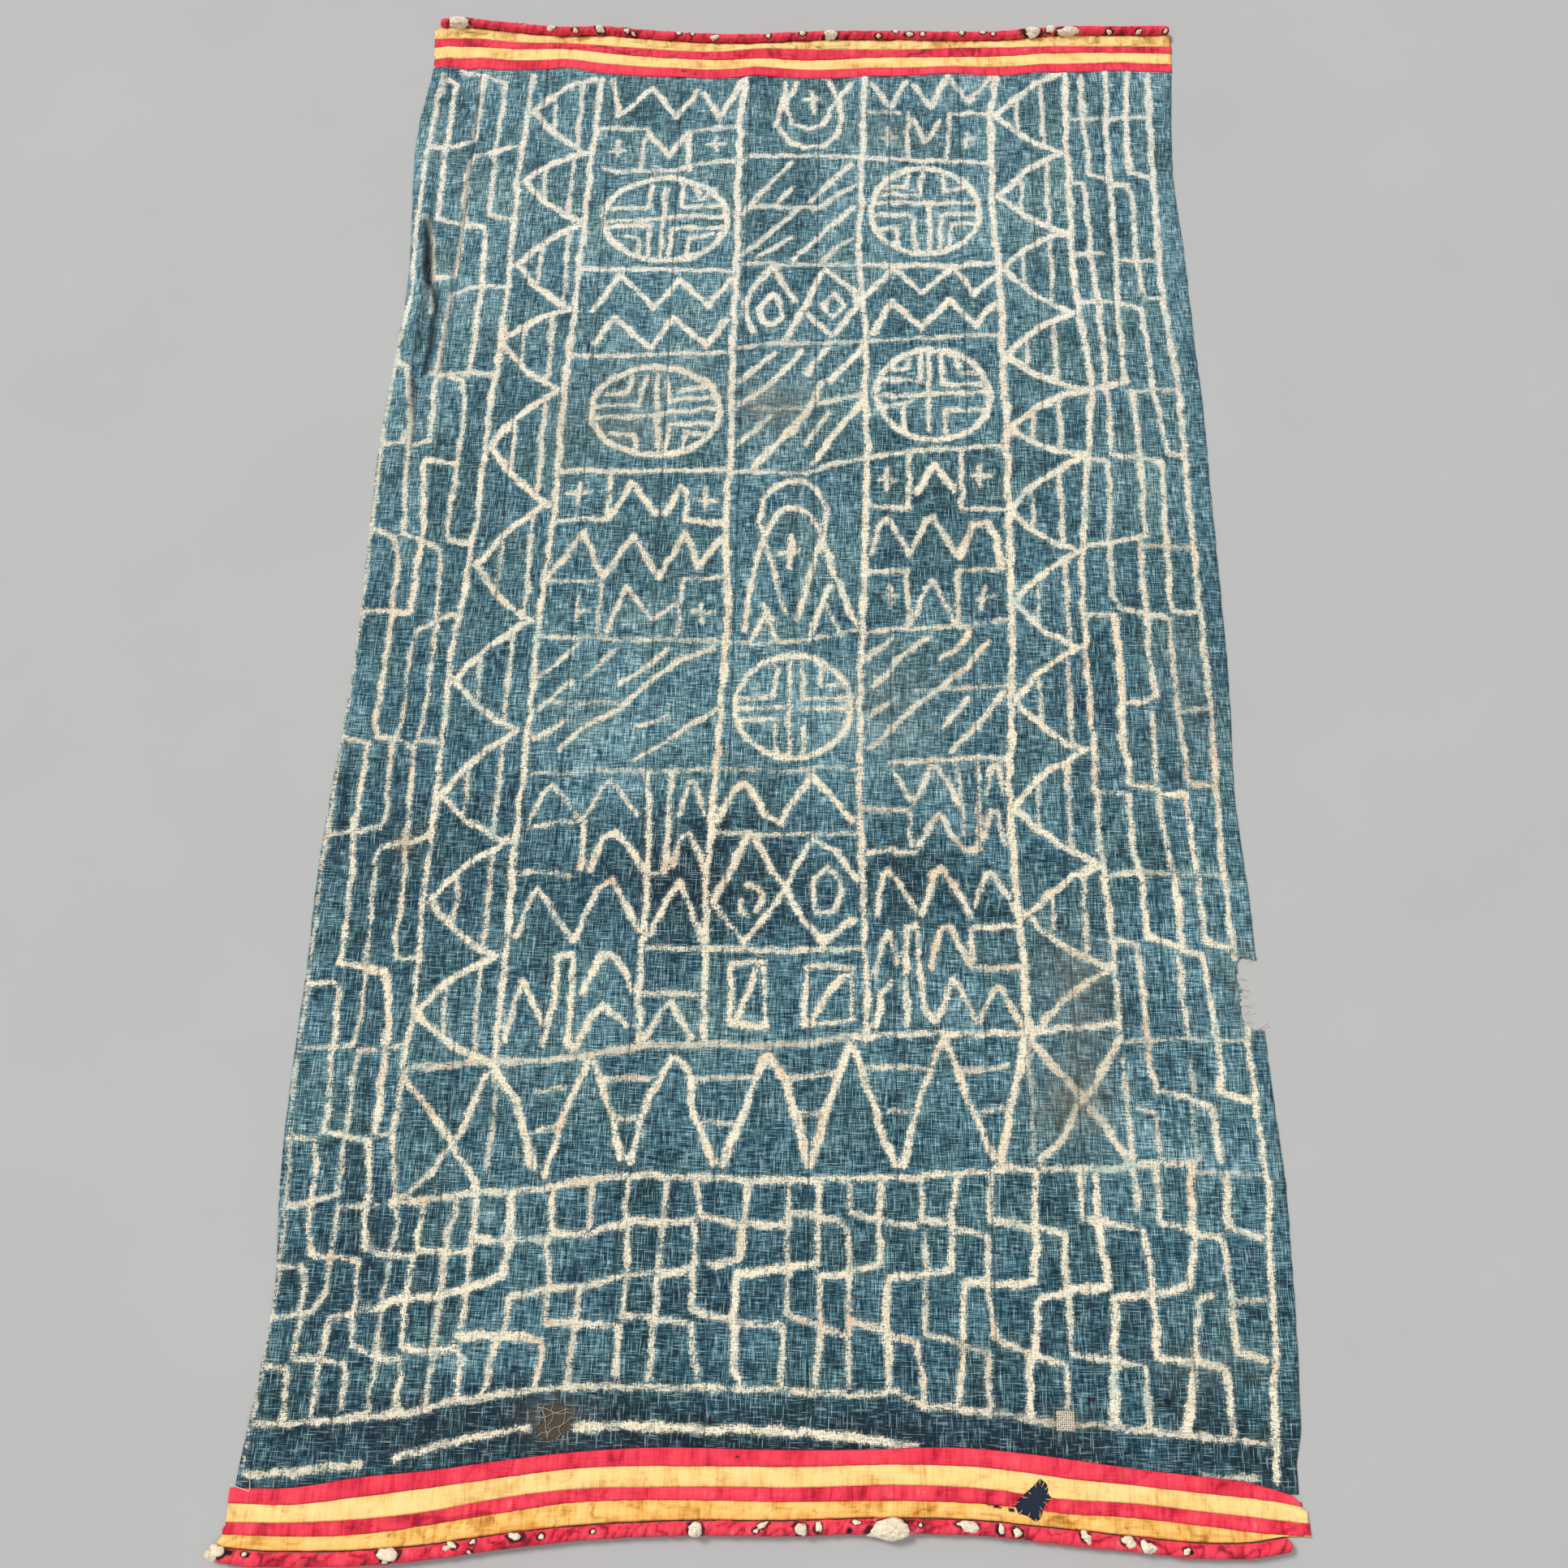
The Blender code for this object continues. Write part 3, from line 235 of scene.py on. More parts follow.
RIGHT_CELLS = (
    (0.9, 0.9, 12.4, 259.5, 16.4, 253.9, 19.4, 260.5), (0.9, 0.9, 21.0, 259.5, 24.3, 253.8, 27.5, 261.8),
    (0.9, 0.9, 27.5, 261.8, 32.0, 255.2, 36.6, 262.1),
    (0.6, 0.7, 12.0, 252.5, 18.0, 252.4), (0.5, 0.9, 19.7, 253.0, 19.7, 241.4),
    (0.8, 0.9, 20.6, 251.1, 23.0, 245.3, 25.9, 250.4), (0.6, 0.9, 36.0, 252.6, 28.0, 252.4, 27.5, 241.4),
    (0.7, 0.9, 15.7, 248.6, 15.7, 244.4), (0.6, 0.8, 14.3, 246.2, 17.2, 246.2),
    (0.6, 0.9, 31.6, 248.2, 31.0, 244.2), (0.6, 0.7, 31.2, 246.3, 33.5, 246.3),
    (0.9, 0.9, 11.0, 215.5, 18.0, 215.6, 30.0, 215.8), (1.3, 1.0, 30.6, 216.2, 33.2, 216.4),
    (0.7, 0.9, 33.0, 216.4, 36.6, 216.8),
    (0.9, 1.0, 11.9, 208.9, 16.5, 215.1, 22.3, 209.5, 28.2, 215.7, 32.0, 209.3, 36.6, 214.0),
    (1.0, 1.0, 12.9, 200.5, 16.2, 207.6, 22.0, 201.4, 27.2, 207.9, 32.1, 202.4, 36.0, 207.6),
    (0.6, 0.8, 10.6, 198.3, 20.0, 199.2, 36.6, 200.3),
    (0.7, 0.9, 11.5, 173.5, 19.7, 174.8, 28.8, 175.9, 36.6, 176.4),
    (0.7, 0.9, 19.4, 174.2, 19.4, 163.4, 12.2, 163.4), (1.0, 1.0, 20.9, 166.7, 24.0, 172.5, 27.4, 167.1),
    (0.7, 0.9, 28.8, 175.4, 28.8, 163.4, 36.6, 163.6),
    (0.7, 0.9, 15.6, 171.2, 15.3, 166.8), (0.5, 0.8, 14.0, 168.9, 17.0, 168.9),
    (0.6, 0.9, 32.2, 172.4, 32.2, 168.2), (0.7, 0.8, 30.8, 170.2, 34.2, 170.2),
    (0.9, 0.9, 12.9, 154.3, 14.2, 160.4, 15.7, 161.4, 19.4, 154.0, 22.6, 161.0, 23.6, 161.6, 28.2, 153.7),
    (1.0, 1.0, 28.2, 153.7, 30.8, 160.2, 33.2, 160.9, 34.8, 157.6, 35.6, 152.0),
    (0.7, 0.8, 12.0, 150.6, 18.8, 150.9, 19.1, 141.0), (0.7, 0.9, 36.0, 151.4, 28.0, 151.3, 27.9, 140.6),
    (0.7, 1.0, 19.7, 141.0, 22.0, 147.5, 23.6, 148.9, 27.2, 141.0),
    (0.6, 0.9, 15.8, 147.8, 15.9, 143.6), (0.5, 0.7, 14.6, 145.8, 17.0, 145.8),
    (0.6, 0.8, 32.6, 148.0, 31.6, 143.8), (0.5, 0.8, 31.0, 145.6, 34.2, 146.4),
    (0.7, 0.8, 11.0, 138.8, 18.0, 139.8, 29.5, 140.4), (0.5, 0.6, 29.5, 140.4, 36.0, 141.9),
    (0.8, 0.8, 11.9, 134.2, 16.2, 138.0), (0.9, 0.9, 12.9, 128.5, 17.0, 133.6, 23.0, 138.7),
    (1.0, 1.0, 24.9, 134.5, 27.6, 136.0, 29.7, 139.4),
    (0.9, 0.9, 15.8, 121.2, 20.6, 125.8, 23.6, 128.3, 28.6, 132.2, 32.7, 137.8), (0.7, 0.8, 12.0, 123.0, 17.0, 127.2),
    (0.6, 0.7, 20.0, 128.2, 36.0, 129.4), (1.0, 1.0, 25.0, 122.0, 29.4, 127.2),
    (1.0, 0.9, 26.2, 117.8, 31.0, 122.6, 35.2, 128.0), (0.8, 0.8, 12.0, 117.5, 16.5, 121.2),
    (0.8, 0.9, 15.8, 115.0, 20.0, 115.6, 30.0, 116.2, 36.0, 116.2),
    (0.8, 0.9, 16.4, 113.4, 18.6, 109.4, 19.6, 108.2, 22.5, 114.4, 24.0, 114.4, 27.4, 108.0),
    (0.6, 0.8, 27.0, 115.6, 28.2, 103.0), (0.6, 0.9, 30.6, 116.0, 30.4, 100.8),
    (0.7, 0.9, 32.0, 110.2, 32.8, 114.8, 34.0, 114.8, 34.6, 110.2),
    (0.7, 0.8, 12.0, 107.0, 19.0, 107.0, 19.3, 101.2),
    (0.9, 0.9, 20.8, 101.1, 22.6, 105.0, 24.1, 106.8, 26.2, 102.6, 28.2, 100.2, 30.4, 100.4),
    (0.7, 0.9, 31.1, 102.1, 32.4, 107.0, 33.8, 107.2, 34.7, 101.8),
    (0.8, 0.9, 12.0, 99.5, 16.4, 100.4, 16.8, 99.6, 20.0, 99.8),
    (0.8, 0.9, 14.0, 89.2, 14.4, 95.8, 15.6, 96.8, 20.2, 89.9), (1.0, 1.0, 21.0, 89.4, 23.0, 96.6, 24.6, 97.2, 28.6, 89.6),
    (0.8, 0.9, 29.6, 91.4, 31.4, 96.4, 32.8, 96.2, 36.0, 90.4),
    (0.8, 1.0, 36.4, 88.0, 31.0, 87.6, 28.8, 87.2, 29.0, 82.2),
    (0.8, 0.9, 13.2, 79.4, 14.4, 84.4, 15.6, 86.2, 17.1, 81.4),
    (0.9, 1.0, 18.6, 71.8, 18.2, 80.0, 18.3, 87.0, 20.2, 87.4, 20.4, 80.0, 21.4, 74.0, 23.0, 72.3),
    (1.0, 1.0, 22.1, 81.0, 24.0, 87.2, 25.4, 87.4, 28.8, 81.2), (0.7, 0.8, 30.0, 81.0, 36.6, 81.2),
    (0.9, 1.0, 13.6, 71.4, 14.6, 76.6, 16.0, 78.4), (0.9, 1.0, 23.0, 72.3, 25.9, 79.4, 29.6, 72.4),
    (0.9, 0.9, 30.0, 72.6, 32.2, 77.8, 33.6, 78.0, 36.2, 72.2),
)
RIGHT_BAND = (
    (0.8, 0.9, 54.8, 262.8, 54.8, 252.4, 55.3, 238.0, 58.1, 237.1, 59.7, 235.7, 62.9, 235.7, 63.4, 230.9,
     63.4, 218.5, 64.0, 210.7),
    (0.5, 0.7, 52.2, 251.5, 59.0, 252.1), (0.6, 0.8, 59.7, 251.5, 63.0, 252.2, 67.8, 252.7),
    (0.8, 0.9, 51.2, 236.1, 54.2, 235.7, 54.5, 228.9, 54.8, 219.8, 55.5, 207.5, 55.8, 200.0, 56.1, 189.4,
     56.4, 175.1, 61.9, 174.5, 65.2, 173.5, 65.2, 159.5, 64.9, 146.5, 65.2, 144.2, 69.7, 143.9),
    (0.7, 0.8, 51.2, 218.9, 56.8, 219.5),
    (0.8, 0.9, 59.7, 263.4, 59.7, 253.7, 59.2, 247.2, 59.4, 236.1, 59.4, 218.5, 59.0, 208.1, 59.4, 200.0,
     59.7, 190.7, 53.4, 188.8),
    (0.5, 0.8, 59.4, 217.7, 67.1, 217.9), (1.0, 1.0, 64.0, 263.4, 63.6, 255.0, 63.1, 245.3, 63.4, 238.8),
    (0.7, 0.9, 63.4, 238.8, 67.8, 237.5),
    (0.7, 0.9, 51.6, 207.8, 55.5, 208.3, 59.4, 207.8, 63.6, 206.8, 64.2, 200.0, 64.9, 189.4, 65.5, 182.9,
     66.5, 175.8, 69.4, 174.8),
    (0.5, 0.8, 64.5, 209.2, 68.4, 209.2),
    (0.8, 0.9, 60.6, 188.8, 61.3, 179.0, 61.3, 168.6, 61.3, 159.5), (0.4, 0.6, 60.0, 188.8, 69.1, 189.2),
    (0.8, 0.8, 52.9, 174.1, 55.5, 173.9, 55.5, 166.0, 54.8, 156.9, 54.9, 146.5, 56.1, 144.6, 60.6, 143.6,
     64.5, 142.6, 64.7, 131.6, 65.0, 122.5, 65.8, 112.4, 69.7, 112.4),
    (0.7, 0.9, 50.6, 156.6, 55.5, 157.3, 61.3, 158.6),
    (0.9, 0.9, 60.3, 158.2, 60.6, 144.6, 60.6, 134.8, 61.3, 128.3, 59.4, 127.4, 55.5, 126.7),
    (0.7, 0.9, 50.3, 143.3, 55.1, 142.9), (1.3, 1.0, 55.1, 142.9, 55.5, 130.3, 55.1, 121.2, 55.7, 116.0),
    (0.9, 0.9, 55.7, 116.0, 55.8, 112.7, 57.4, 112.4, 60.6, 111.7),
    (0.5, 0.6, 65.2, 125.4, 69.7, 126.1), (0.8, 0.9, 60.3, 125.1, 60.5, 109.5, 61.3, 101.0, 62.3, 96.5),
    (0.4, 0.5, 60.0, 156.6, 69.4, 156.8),
    (0.9, 0.9, 68.4, 263.4, 68.1, 251.0, 67.8, 229.0, 67.8, 210.7, 68.6, 200.0, 69.4, 192.0, 69.6, 174.4,
     69.7, 159.5, 70.1, 143.3, 70.4, 127.0, 70.1, 103.0, 70.4, 93.2, 70.9, 83.5),
    (0.7, 0.9, 49.9, 111.1, 55.5, 110.8),
    (1.0, 1.0, 55.5, 110.5, 55.8, 101.0, 56.8, 96.5, 57.1, 86.7, 61.9, 85.1, 65.8, 83.8, 66.5, 77.0, 67.1, 67.3,
     67.0, 62.4, 71.0, 61.4),
    (1.1, 1.0, 62.3, 96.5, 62.6, 85.4), (0.8, 0.9, 61.9, 83.5, 62.5, 71.2),
    (0.9, 1.0, 60.6, 110.8, 65.2, 110.8, 65.3, 103.0, 66.0, 96.5, 66.5, 86.1, 70.4, 85.4),
    (0.7, 0.9, 50.9, 96.5, 56.4, 97.5), (0.5, 0.5, 56.4, 97.5, 70.1, 97.2),
    (0.9, 0.9, 50.9, 85.8, 55.5, 85.4, 55.8, 80.2, 56.1, 70.5, 57.1, 62.4, 61.9, 61.7, 65.8, 60.1, 66.0, 52.3),
    (0.7, 0.8, 52.2, 67.3, 52.9, 52.3), (0.6, 0.8, 53.8, 59.8, 56.8, 59.1, 57.1, 52.7),
    (0.6, 0.5, 62.8, 67.3, 62.6, 52.3),
    (0.9, 1.0, 72.0, 73.1, 72.3, 57.5, 73.1, 47.7, 72.5, 41.1, 72.0, 28.1, 71.4, 21.5, 70.7, 9.2),
)
LOW_FIELD = (
    (0.6, 0.8, -59.5, 43.7, -58.5, 41.2, -59.2, 29.9, -59.5, 24.1, -59.8, 14.7),
    (0.8, 1.0, -54.9, 43.7, -55.1, 37.1, -51.0, 36.5, -47.2, 37.1),
    (0.8, 0.8, -49.7, 43.7, -50.7, 40.0, -51.0, 31.1, -51.0, 23.5, -51.6, 15.9),
    (0.9, 0.9, -46.9, 45.0, -47.2, 38.7, -44.7, 38.4, -35.8, 38.9, -35.2, 34.9, -35.2, 27.3, -30.8, 27.3,
     -24.2, 27.0, -24.4, 20.4),
    (0.8, 0.9, -47.2, 38.7, -46.9, 32.4, -47.5, 26.7),
    (1.1, 1.0, -41.5, 45.0, -41.4, 38.0, -42.1, 33.6, -44.7, 32.3, -49.5, 31.0, -55.0, 30.3, -60.0, 28.8),
    (1.1, 1.0, -47.8, 25.3, -41.5, 25.4, -35.8, 25.1), (0.9, 0.9, -35.6, 25.0, -35.2, 23.5, -36.1, 18.8),
    (0.8, 0.9, -42.1, 25.1, -42.6, 22.3, -43.4, 17.8),
    (0.8, 0.9, -40.9, 25.8, -40.9, 30.8, -35.8, 31.7, -29.5, 32.7, -24.5, 33.9, -18.0, 35.0),
    (0.9, 0.8, -30.3, 32.4, -30.8, 27.3, -31.1, 19.1),
    (0.8, 0.8, -29.5, 47.0, -29.7, 40.6), (1.0, 1.0, -35.5, 45.6, -35.3, 40.3),
    (0.8, 0.9, -35.5, 39.6, -30.0, 39.7, -26.4, 40.9, -23.8, 40.6, -23.5, 34.9, -23.8, 28.6, -18.8, 28.3,
     -13.8, 27.6, -13.1, 24.1, -12.5, 20.4),
    (0.8, 0.9, -24.2, 47.6, -24.2, 41.5, -18.8, 41.8, -13.8, 42.1, -13.5, 36.1, -13.8, 29.5, -9.4, 28.6,
     -6.9, 28.0, -0.2, 27.6, -0.2, 20.0),
    (0.7, 0.8, -18.2, 47.6, -18.8, 34.9), (1.0, 1.0, -18.6, 34.0, -14.4, 34.9),
    (0.8, 0.9, -18.8, 34.0, -19.1, 28.0, -19.4, 20.2),
    (0.9, 0.9, -13.8, 47.6, -12.8, 42.8, -9.4, 41.8, -0.5, 41.7),
    (1.0, 0.9, -5.9, 47.6, -6.2, 41.8, -6.9, 36.8, -11.3, 35.8),
    (1.1, 1.0, -7.2, 34.6, -1.2, 35.5, 3.9, 36.1), (1.1, 1.0, -7.2, 34.6, -7.5, 28.6, -7.2, 22.2, -6.2, 19.6),
    (0.7, 0.8, 0.4, 47.6, 0.4, 29.9), (0.8, 0.8, 0.3, 43.7, 3.5, 43.2, 8.0, 42.4, 9.4, 41.1, 9.5, 30.6, 9.7, 20.0),
    (0.8, 0.8, 0.3, 29.3, 3.5, 28.3, 8.7, 26.7, 9.7, 25.6),
    (0.8, 0.9, 4.7, 47.6, 4.8, 36.6, 3.9, 36.1),
    (0.9, 0.9, 5.1, 34.6, 9.4, 35.2, 13.9, 36.6, 14.4, 47.6), (0.9, 0.9, 5.1, 34.6, 5.5, 28.1, 4.9, 20.2),
    (0.8, 0.9, 9.5, 47.6, 9.5, 43.7, 14.5, 42.7, 19.7, 41.8),
    (0.8, 0.9, 10.0, 28.7, 14.5, 27.4, 19.7, 25.5, 20.5, 20.2, 20.6, 17.8),
    (1.0, 1.0, 15.2, 34.8, 15.2, 27.4, 15.3, 20.2),
    (0.9, 1.0, 15.2, 34.8, 20.4, 35.2, 24.9, 35.9, 24.9, 41.8, 25.9, 48.6),
    (0.8, 0.9, 20.5, 48.6, 20.5, 43.0, 25.6, 41.8, 30.1, 40.8, 30.5, 31.3, 31.1, 26.8, 35.3, 24.8, 41.2, 23.2,
     41.5, 18.2),
    (0.8, 0.8, 21.0, 41.0, 21.0, 26.8, 25.6, 26.1, 29.8, 24.8, 30.1, 17.3),
    (0.9, 0.9, 30.8, 49.6, 30.8, 43.0, 36.0, 42.4, 41.8, 41.6),
    (1.0, 1.0, 26.6, 34.0, 29.5, 34.3, 34.7, 34.3, 37.0, 34.6, 37.6, 41.1, 37.8, 50.0),
    (0.9, 1.0, 26.6, 34.0, 26.2, 26.1, 25.6, 17.7),
    (1.0, 1.0, 37.3, 32.2, 42.5, 33.6, 48.0, 34.1, 47.3, 41.1, 46.9, 50.0),
    (1.1, 1.0, 37.3, 32.2, 36.9, 24.8, 36.0, 23.5, 36.0, 16.3),
    (0.8, 0.9, 41.9, 41.1, 42.0, 30.0, 42.3, 24.8, 46.4, 24.3, 52.9, 23.5, 52.9, 15.5),
    (0.9, 1.0, 44.7, 50.4, 44.7, 43.7, 49.0, 43.0, 53.5, 42.4, 54.2, 39.1, 54.7, 31.3, 54.8, 24.8, 60.0, 24.3,
     64.5, 23.4, 65.2, 15.0),
    (1.0, 1.0, 49.0, 32.5, 54.2, 33.3, 60.0, 34.3, 61.0, 37.9, 61.3, 42.4, 61.6, 51.4),
    (1.2, 1.0, 49.0, 32.5, 48.3, 24.8, 48.0, 15.7),
    (0.9, 0.9, 56.2, 51.0, 56.4, 43.4, 61.3, 42.1, 65.5, 41.4, 66.0, 34.6, 66.2, 25.5, 70.4, 24.8),
    (0.8, 0.9, 63.2, 33.3, 61.3, 32.6, 60.6, 28.1, 59.9, 22.5), (1.6, 1.0, 59.8, 22.4, 58.4, 15.4),
    (1.0, 0.9, 66.8, 50.4, 66.5, 43.0, 71.0, 41.4), (0.8, 0.7, 65.8, 32.6, 71.0, 33.0),
    (0.9, 0.9, 52.9, 50.8, 53.0, 45.3),
)
BIG_FIGURES = (
    (1.2, 1.0, -46.2, 64.3, -41.6, 57.5, -38.9, 49.0), (1.0, 1.0, -37.0, 48.0, -34.6, 57.0, -31.4, 65.4),
    (1.0, 1.0, -30.6, 65.0, -27.2, 57.0, -25.4, 50.6), (1.0, 1.0, -24.0, 50.2, -21.6, 59.6, -18.3, 66.0),
    (1.1, 1.0, -17.6, 66.0, -15.6, 63.8, -14.6, 57.6, -11.4, 50.4),
    (1.1, 1.0, -9.8, 50.2, -6.4, 59.0, -4.0, 66.4), (1.3, 1.0, -3.4, 66.6, -0.4, 62.6, 1.4, 56.6, 3.4, 50.3),
    (1.2, 1.0, 3.6, 50.6, 6.2, 59.6, 9.4, 68.4), (1.1, 1.0, 10.2, 68.4, 12.6, 61.0, 15.4, 52.6, 16.8, 51.0),
    (0.9, 1.0, 17.9, 51.1, 20.6, 61.6, 24.0, 69.4), (0.9, 1.0, 24.6, 69.4, 28.4, 59.4, 31.4, 52.0),
    (1.2, 1.0, 32.6, 51.5, 34.6, 60.6, 37.1, 70.4), (1.3, 1.0, 15.0, 53.6, 15.8, 52.6),
    (1.0, 1.0, -59.8, 61.9, -53.0, 54.4, -46.8, 45.5), (1.1, 1.0, -47.2, 62.4, -50.2, 54.0),
    (0.8, 0.9, -50.4, 53.6, -54.6, 47.6, -58.4, 44.0),
    (1.3, 0.9, 38.2, 69.6, 43.0, 64.0, 45.8, 61.0), (1.1, 1.0, 47.0, 59.6, 49.4, 56.2, 52.4, 52.0),
    (1.1, 0.9, 51.9, 70.6, 47.6, 63.6, 44.4, 59.4, 42.6, 55.6, 38.8, 51.8),
    (0.7, 0.7, -39.0, 60.2, -34.4, 61.0), (0.7, 0.8, -38.6, 54.2, -35.4, 55.2),
    (0.8, 0.8, -29.2, 62.4, -21.4, 62.6), (0.6, 0.7, -26.4, 56.2, -23.4, 56.6),
    (0.7, 0.7, -14.6, 62.6, -5.4, 63.4), (0.6, 0.8, -13.0, 56.1, -8.2, 56.3),
    (0.8, 0.8, 0.0, 63.4, 7.6, 64.2), (0.6, 0.7, 2.4, 57.9, 5.0, 58.0),
    (0.9, 0.8, 13.0, 65.2, 21.4, 65.2), (0.5, 0.7, 15.4, 58.6, 19.0, 58.6),
    (0.8, 0.8, 27.0, 64.8, 34.2, 65.8), (0.5, 0.8, 30.4, 59.0, 33.2, 59.4),
)

# The triangles beside the frame lines: across and along of each corner, from the far end
LEFT_TEETH = (
    (-43.4, 259.7), (-55.4, 251.2), (-44.0, 240.8), (-56.0, 233.9), (-43.7, 224.1), (-55.4, 214.0),
    (-44.7, 204.2), (-57.0, 196.5), (-45.3, 186.4), (-57.0, 174.4), (-45.6, 162.7), (-57.3, 150.1),
    (-46.6, 139.7), (-58.9, 128.3), (-47.2, 119.3), (-58.9, 107.9), (-47.2, 100.1), (-58.9, 90.0),
    (-47.2, 81.1), (-58.9, 72.0), (-46.5, 64.4),
)
RIGHT_TEETH = (
    (50.9, 263.4), (37.3, 252.1), (49.9, 243.3), (37.6, 232.3), (50.3, 224.1), (37.6, 215.4), (50.6, 205.3),
    (37.6, 195.9), (52.2, 188.8), (37.9, 180.3), (51.9, 174.8), (37.3, 163.4), (49.9, 155.3), (37.6, 145.2),
    (48.6, 136.8), (37.3, 127.0), (48.6, 117.9), (36.3, 107.9), (50.6, 98.4), (37.9, 89.7), (51.2, 81.5),
    (38.2, 70.5),
)
TOOTH_WIDTH = 1.0
TOOTH_BULGE = 1.3
SHORT_BAR_IN = 4.2
LONG_BAR_IN = 9.3

# The quartered discs: across and along of the middle, half width, half length
DISCS = (
    (-27.6, 225.4, 12.2, 9.8), (22.9, 228.6, 10.6, 10.2), (-27.3, 182.4, 12.0, 9.4), (24.0, 187.1, 10.6, 9.7),
    (-0.7, 125.0, 9.8, 9.3),
)
DISC_MARKS = (
    (-38.0, 227.6, -30.8, 227.9, -30.5, 233.2), (-24.8, 233.9, -24.2, 228.2, -16.6, 228.8),
    (-22.0, 233.2, -21.0, 230.4, -18.2, 232.6), (-38.7, 224.7, -30.8, 225.0, -24.5, 226.0, -16.0, 226.3),
    (-38.7, 223.2, -30.5, 223.8, -30.8, 216.2), (-26.7, 216.2, -26.1, 223.2, -16.3, 223.8),
    (-23.2, 216.2, -22.9, 221.3, -17.9, 221.9), (-32.7, 216.5, -32.7, 220.6, -35.2, 221.3),
    (-27.9, 232.6, -28.3, 216.2), (-38.7, 183.2, -30.2, 183.5, -29.5, 189.8), (-36.2, 185.7, -32.4, 186.1, -32.0, 189.5),
    (-38.7, 180.7, -27.6, 181.1, -24.5, 182.0, -15.6, 183.2), (-25.4, 189.5, -24.8, 184.5, -15.6, 185.4),
    (-22.9, 186.7, -18.2, 187.6), (-27.3, 189.8, -26.4, 173.4), (-30.2, 173.4, -30.5, 177.2, -35.2, 177.5),
    (-25.1, 174.1, -24.8, 179.7, -16.0, 179.9), (-22.0, 174.1, -21.8, 177.9, -17.3, 177.7),
    (-9.2, 126.3, -4.0, 126.5, -3.6, 132.2), (-1.4, 132.8, -1.2, 115.5), (0.8, 132.8, 1.0, 126.3, 9.0, 126.5),
    (3.8, 132.2, 4.0, 128.9, 8.4, 129.3), (-10.5, 124.4, -1.4, 124.7), (1.0, 124.4, 9.2, 124.7),
    (-10.0, 122.4, -3.6, 122.4, -3.3, 116.0), (1.1, 121.0, 1.2, 116.0), (14.2, 232.3, 22.0, 232.3, 22.2, 237.7),
    (15.5, 233.8, 19.4, 234.3, 19.6, 236.8), (26.2, 237.7, 26.6, 233.2, 30.8, 234.2), (13.2, 230.3, 23.0, 230.3, 32.4, 230.6),
    (13.6, 227.4, 20.4, 227.4, 21.0, 219.2), (14.2, 224.1, 17.5, 224.4, 17.7, 219.5), (23.6, 230.3, 23.8, 219.2),
    (25.6, 219.2, 25.9, 227.7, 32.7, 228.0), (27.5, 220.5, 27.9, 225.4, 32.1, 226.0), (14.5, 190.0, 21.4, 190.0, 21.7, 196.0),
    (14.9, 192.3, 19.4, 192.3, 19.4, 195.9), (23.2, 196.9, 23.2, 179.3), (25.6, 195.9, 25.9, 189.1, 33.4, 189.7),
    (28.2, 196.6, 28.8, 191.7, 32.7, 192.0), (14.2, 186.5, 34.0, 187.8), (14.5, 184.2, 19.7, 185.2), (18.5, 184.0, 18.5, 179.5),
    (25.9, 179.0, 26.2, 183.9, 33.4, 183.9),
)

# Depth of the dye: across, along, reach across, reach along, how much lighter
SHADES = (
    (-22.0, 95.0, 46.0, 15.0, -0.75), (-68.0, 92.0, 12.0, 26.0, -0.55), (24.0, 94.0, 22.0, 12.0, -0.55),
    (-14.0, 124.0, 40.0, 14.0, 0.45), (0.0, 11.0, 140.0, 9.0, -0.85), (0.0, 34.0, 140.0, 30.0, -0.50), (-70.0, 208.0, 10.0, 24.0, 0.45),
    (-28.0, 212.0, 18.0, 22.0, 0.30), (62.0, 46.0, 22.0, 26.0, 0.35), (-56.0, 128.0, 12.0, 40.0, -0.20),
    (30.0, 60.0, 34.0, 16.0, 0.20), (-72.0, 138.0, 6.0, 16.0, -0.40), (20.0, 160.0, 22.0, 16.0, -0.20),
    (-48.0, 14.0, 22.0, 7.0, -0.30), (60.0, 190.0, 20.0, 40.0, -0.10), (-66.0, 30.0, 16.0, 20.0, -0.25),
    (60.0, 130.0, 14.0, 16.0, -0.25), (-5.0, 250.0, 10.0, 10.0, -0.25), (60.0, 22.0, 20.0, 8.0, -0.25),
)
STAINS = (
    (-6.0, 184.0, 9.0, 6.0, 0.55), (44.0, 60.0, 7.0, 6.0, 0.50), (-34.0, 184.0, 9.0, 8.0, 0.25),
    (44.0, 80.0, 6.0, 6.0, 0.30), (66.0, 128.0, 6.0, 14.0, 0.20), (-33.0, 14.5, 5.5, 3.8, 0.35),
    (16.0, 124.0, 9.0, 12.0, 0.25), (16.0, 247.0, 6.0, 4.0, 0.25), (-64.0, 99.0, 1.4, 3.0, 0.60),
    (-44.5, 178.0, 2.0, 12.0, 0.30), (40.8, 16.0, 3.0, 2.4, 0.30), (74.0, 78.0, 5.0, 8.0, 0.50), (46.0, 70.0, 6.0, 16.0, 0.30),
    (-30.0, 178.0, 7.0, 5.0, 0.25), (-20.0, 190.0, 6.0, 5.0, 0.25), (62.0, 24.0, 9.0, 4.0, 0.20),
)

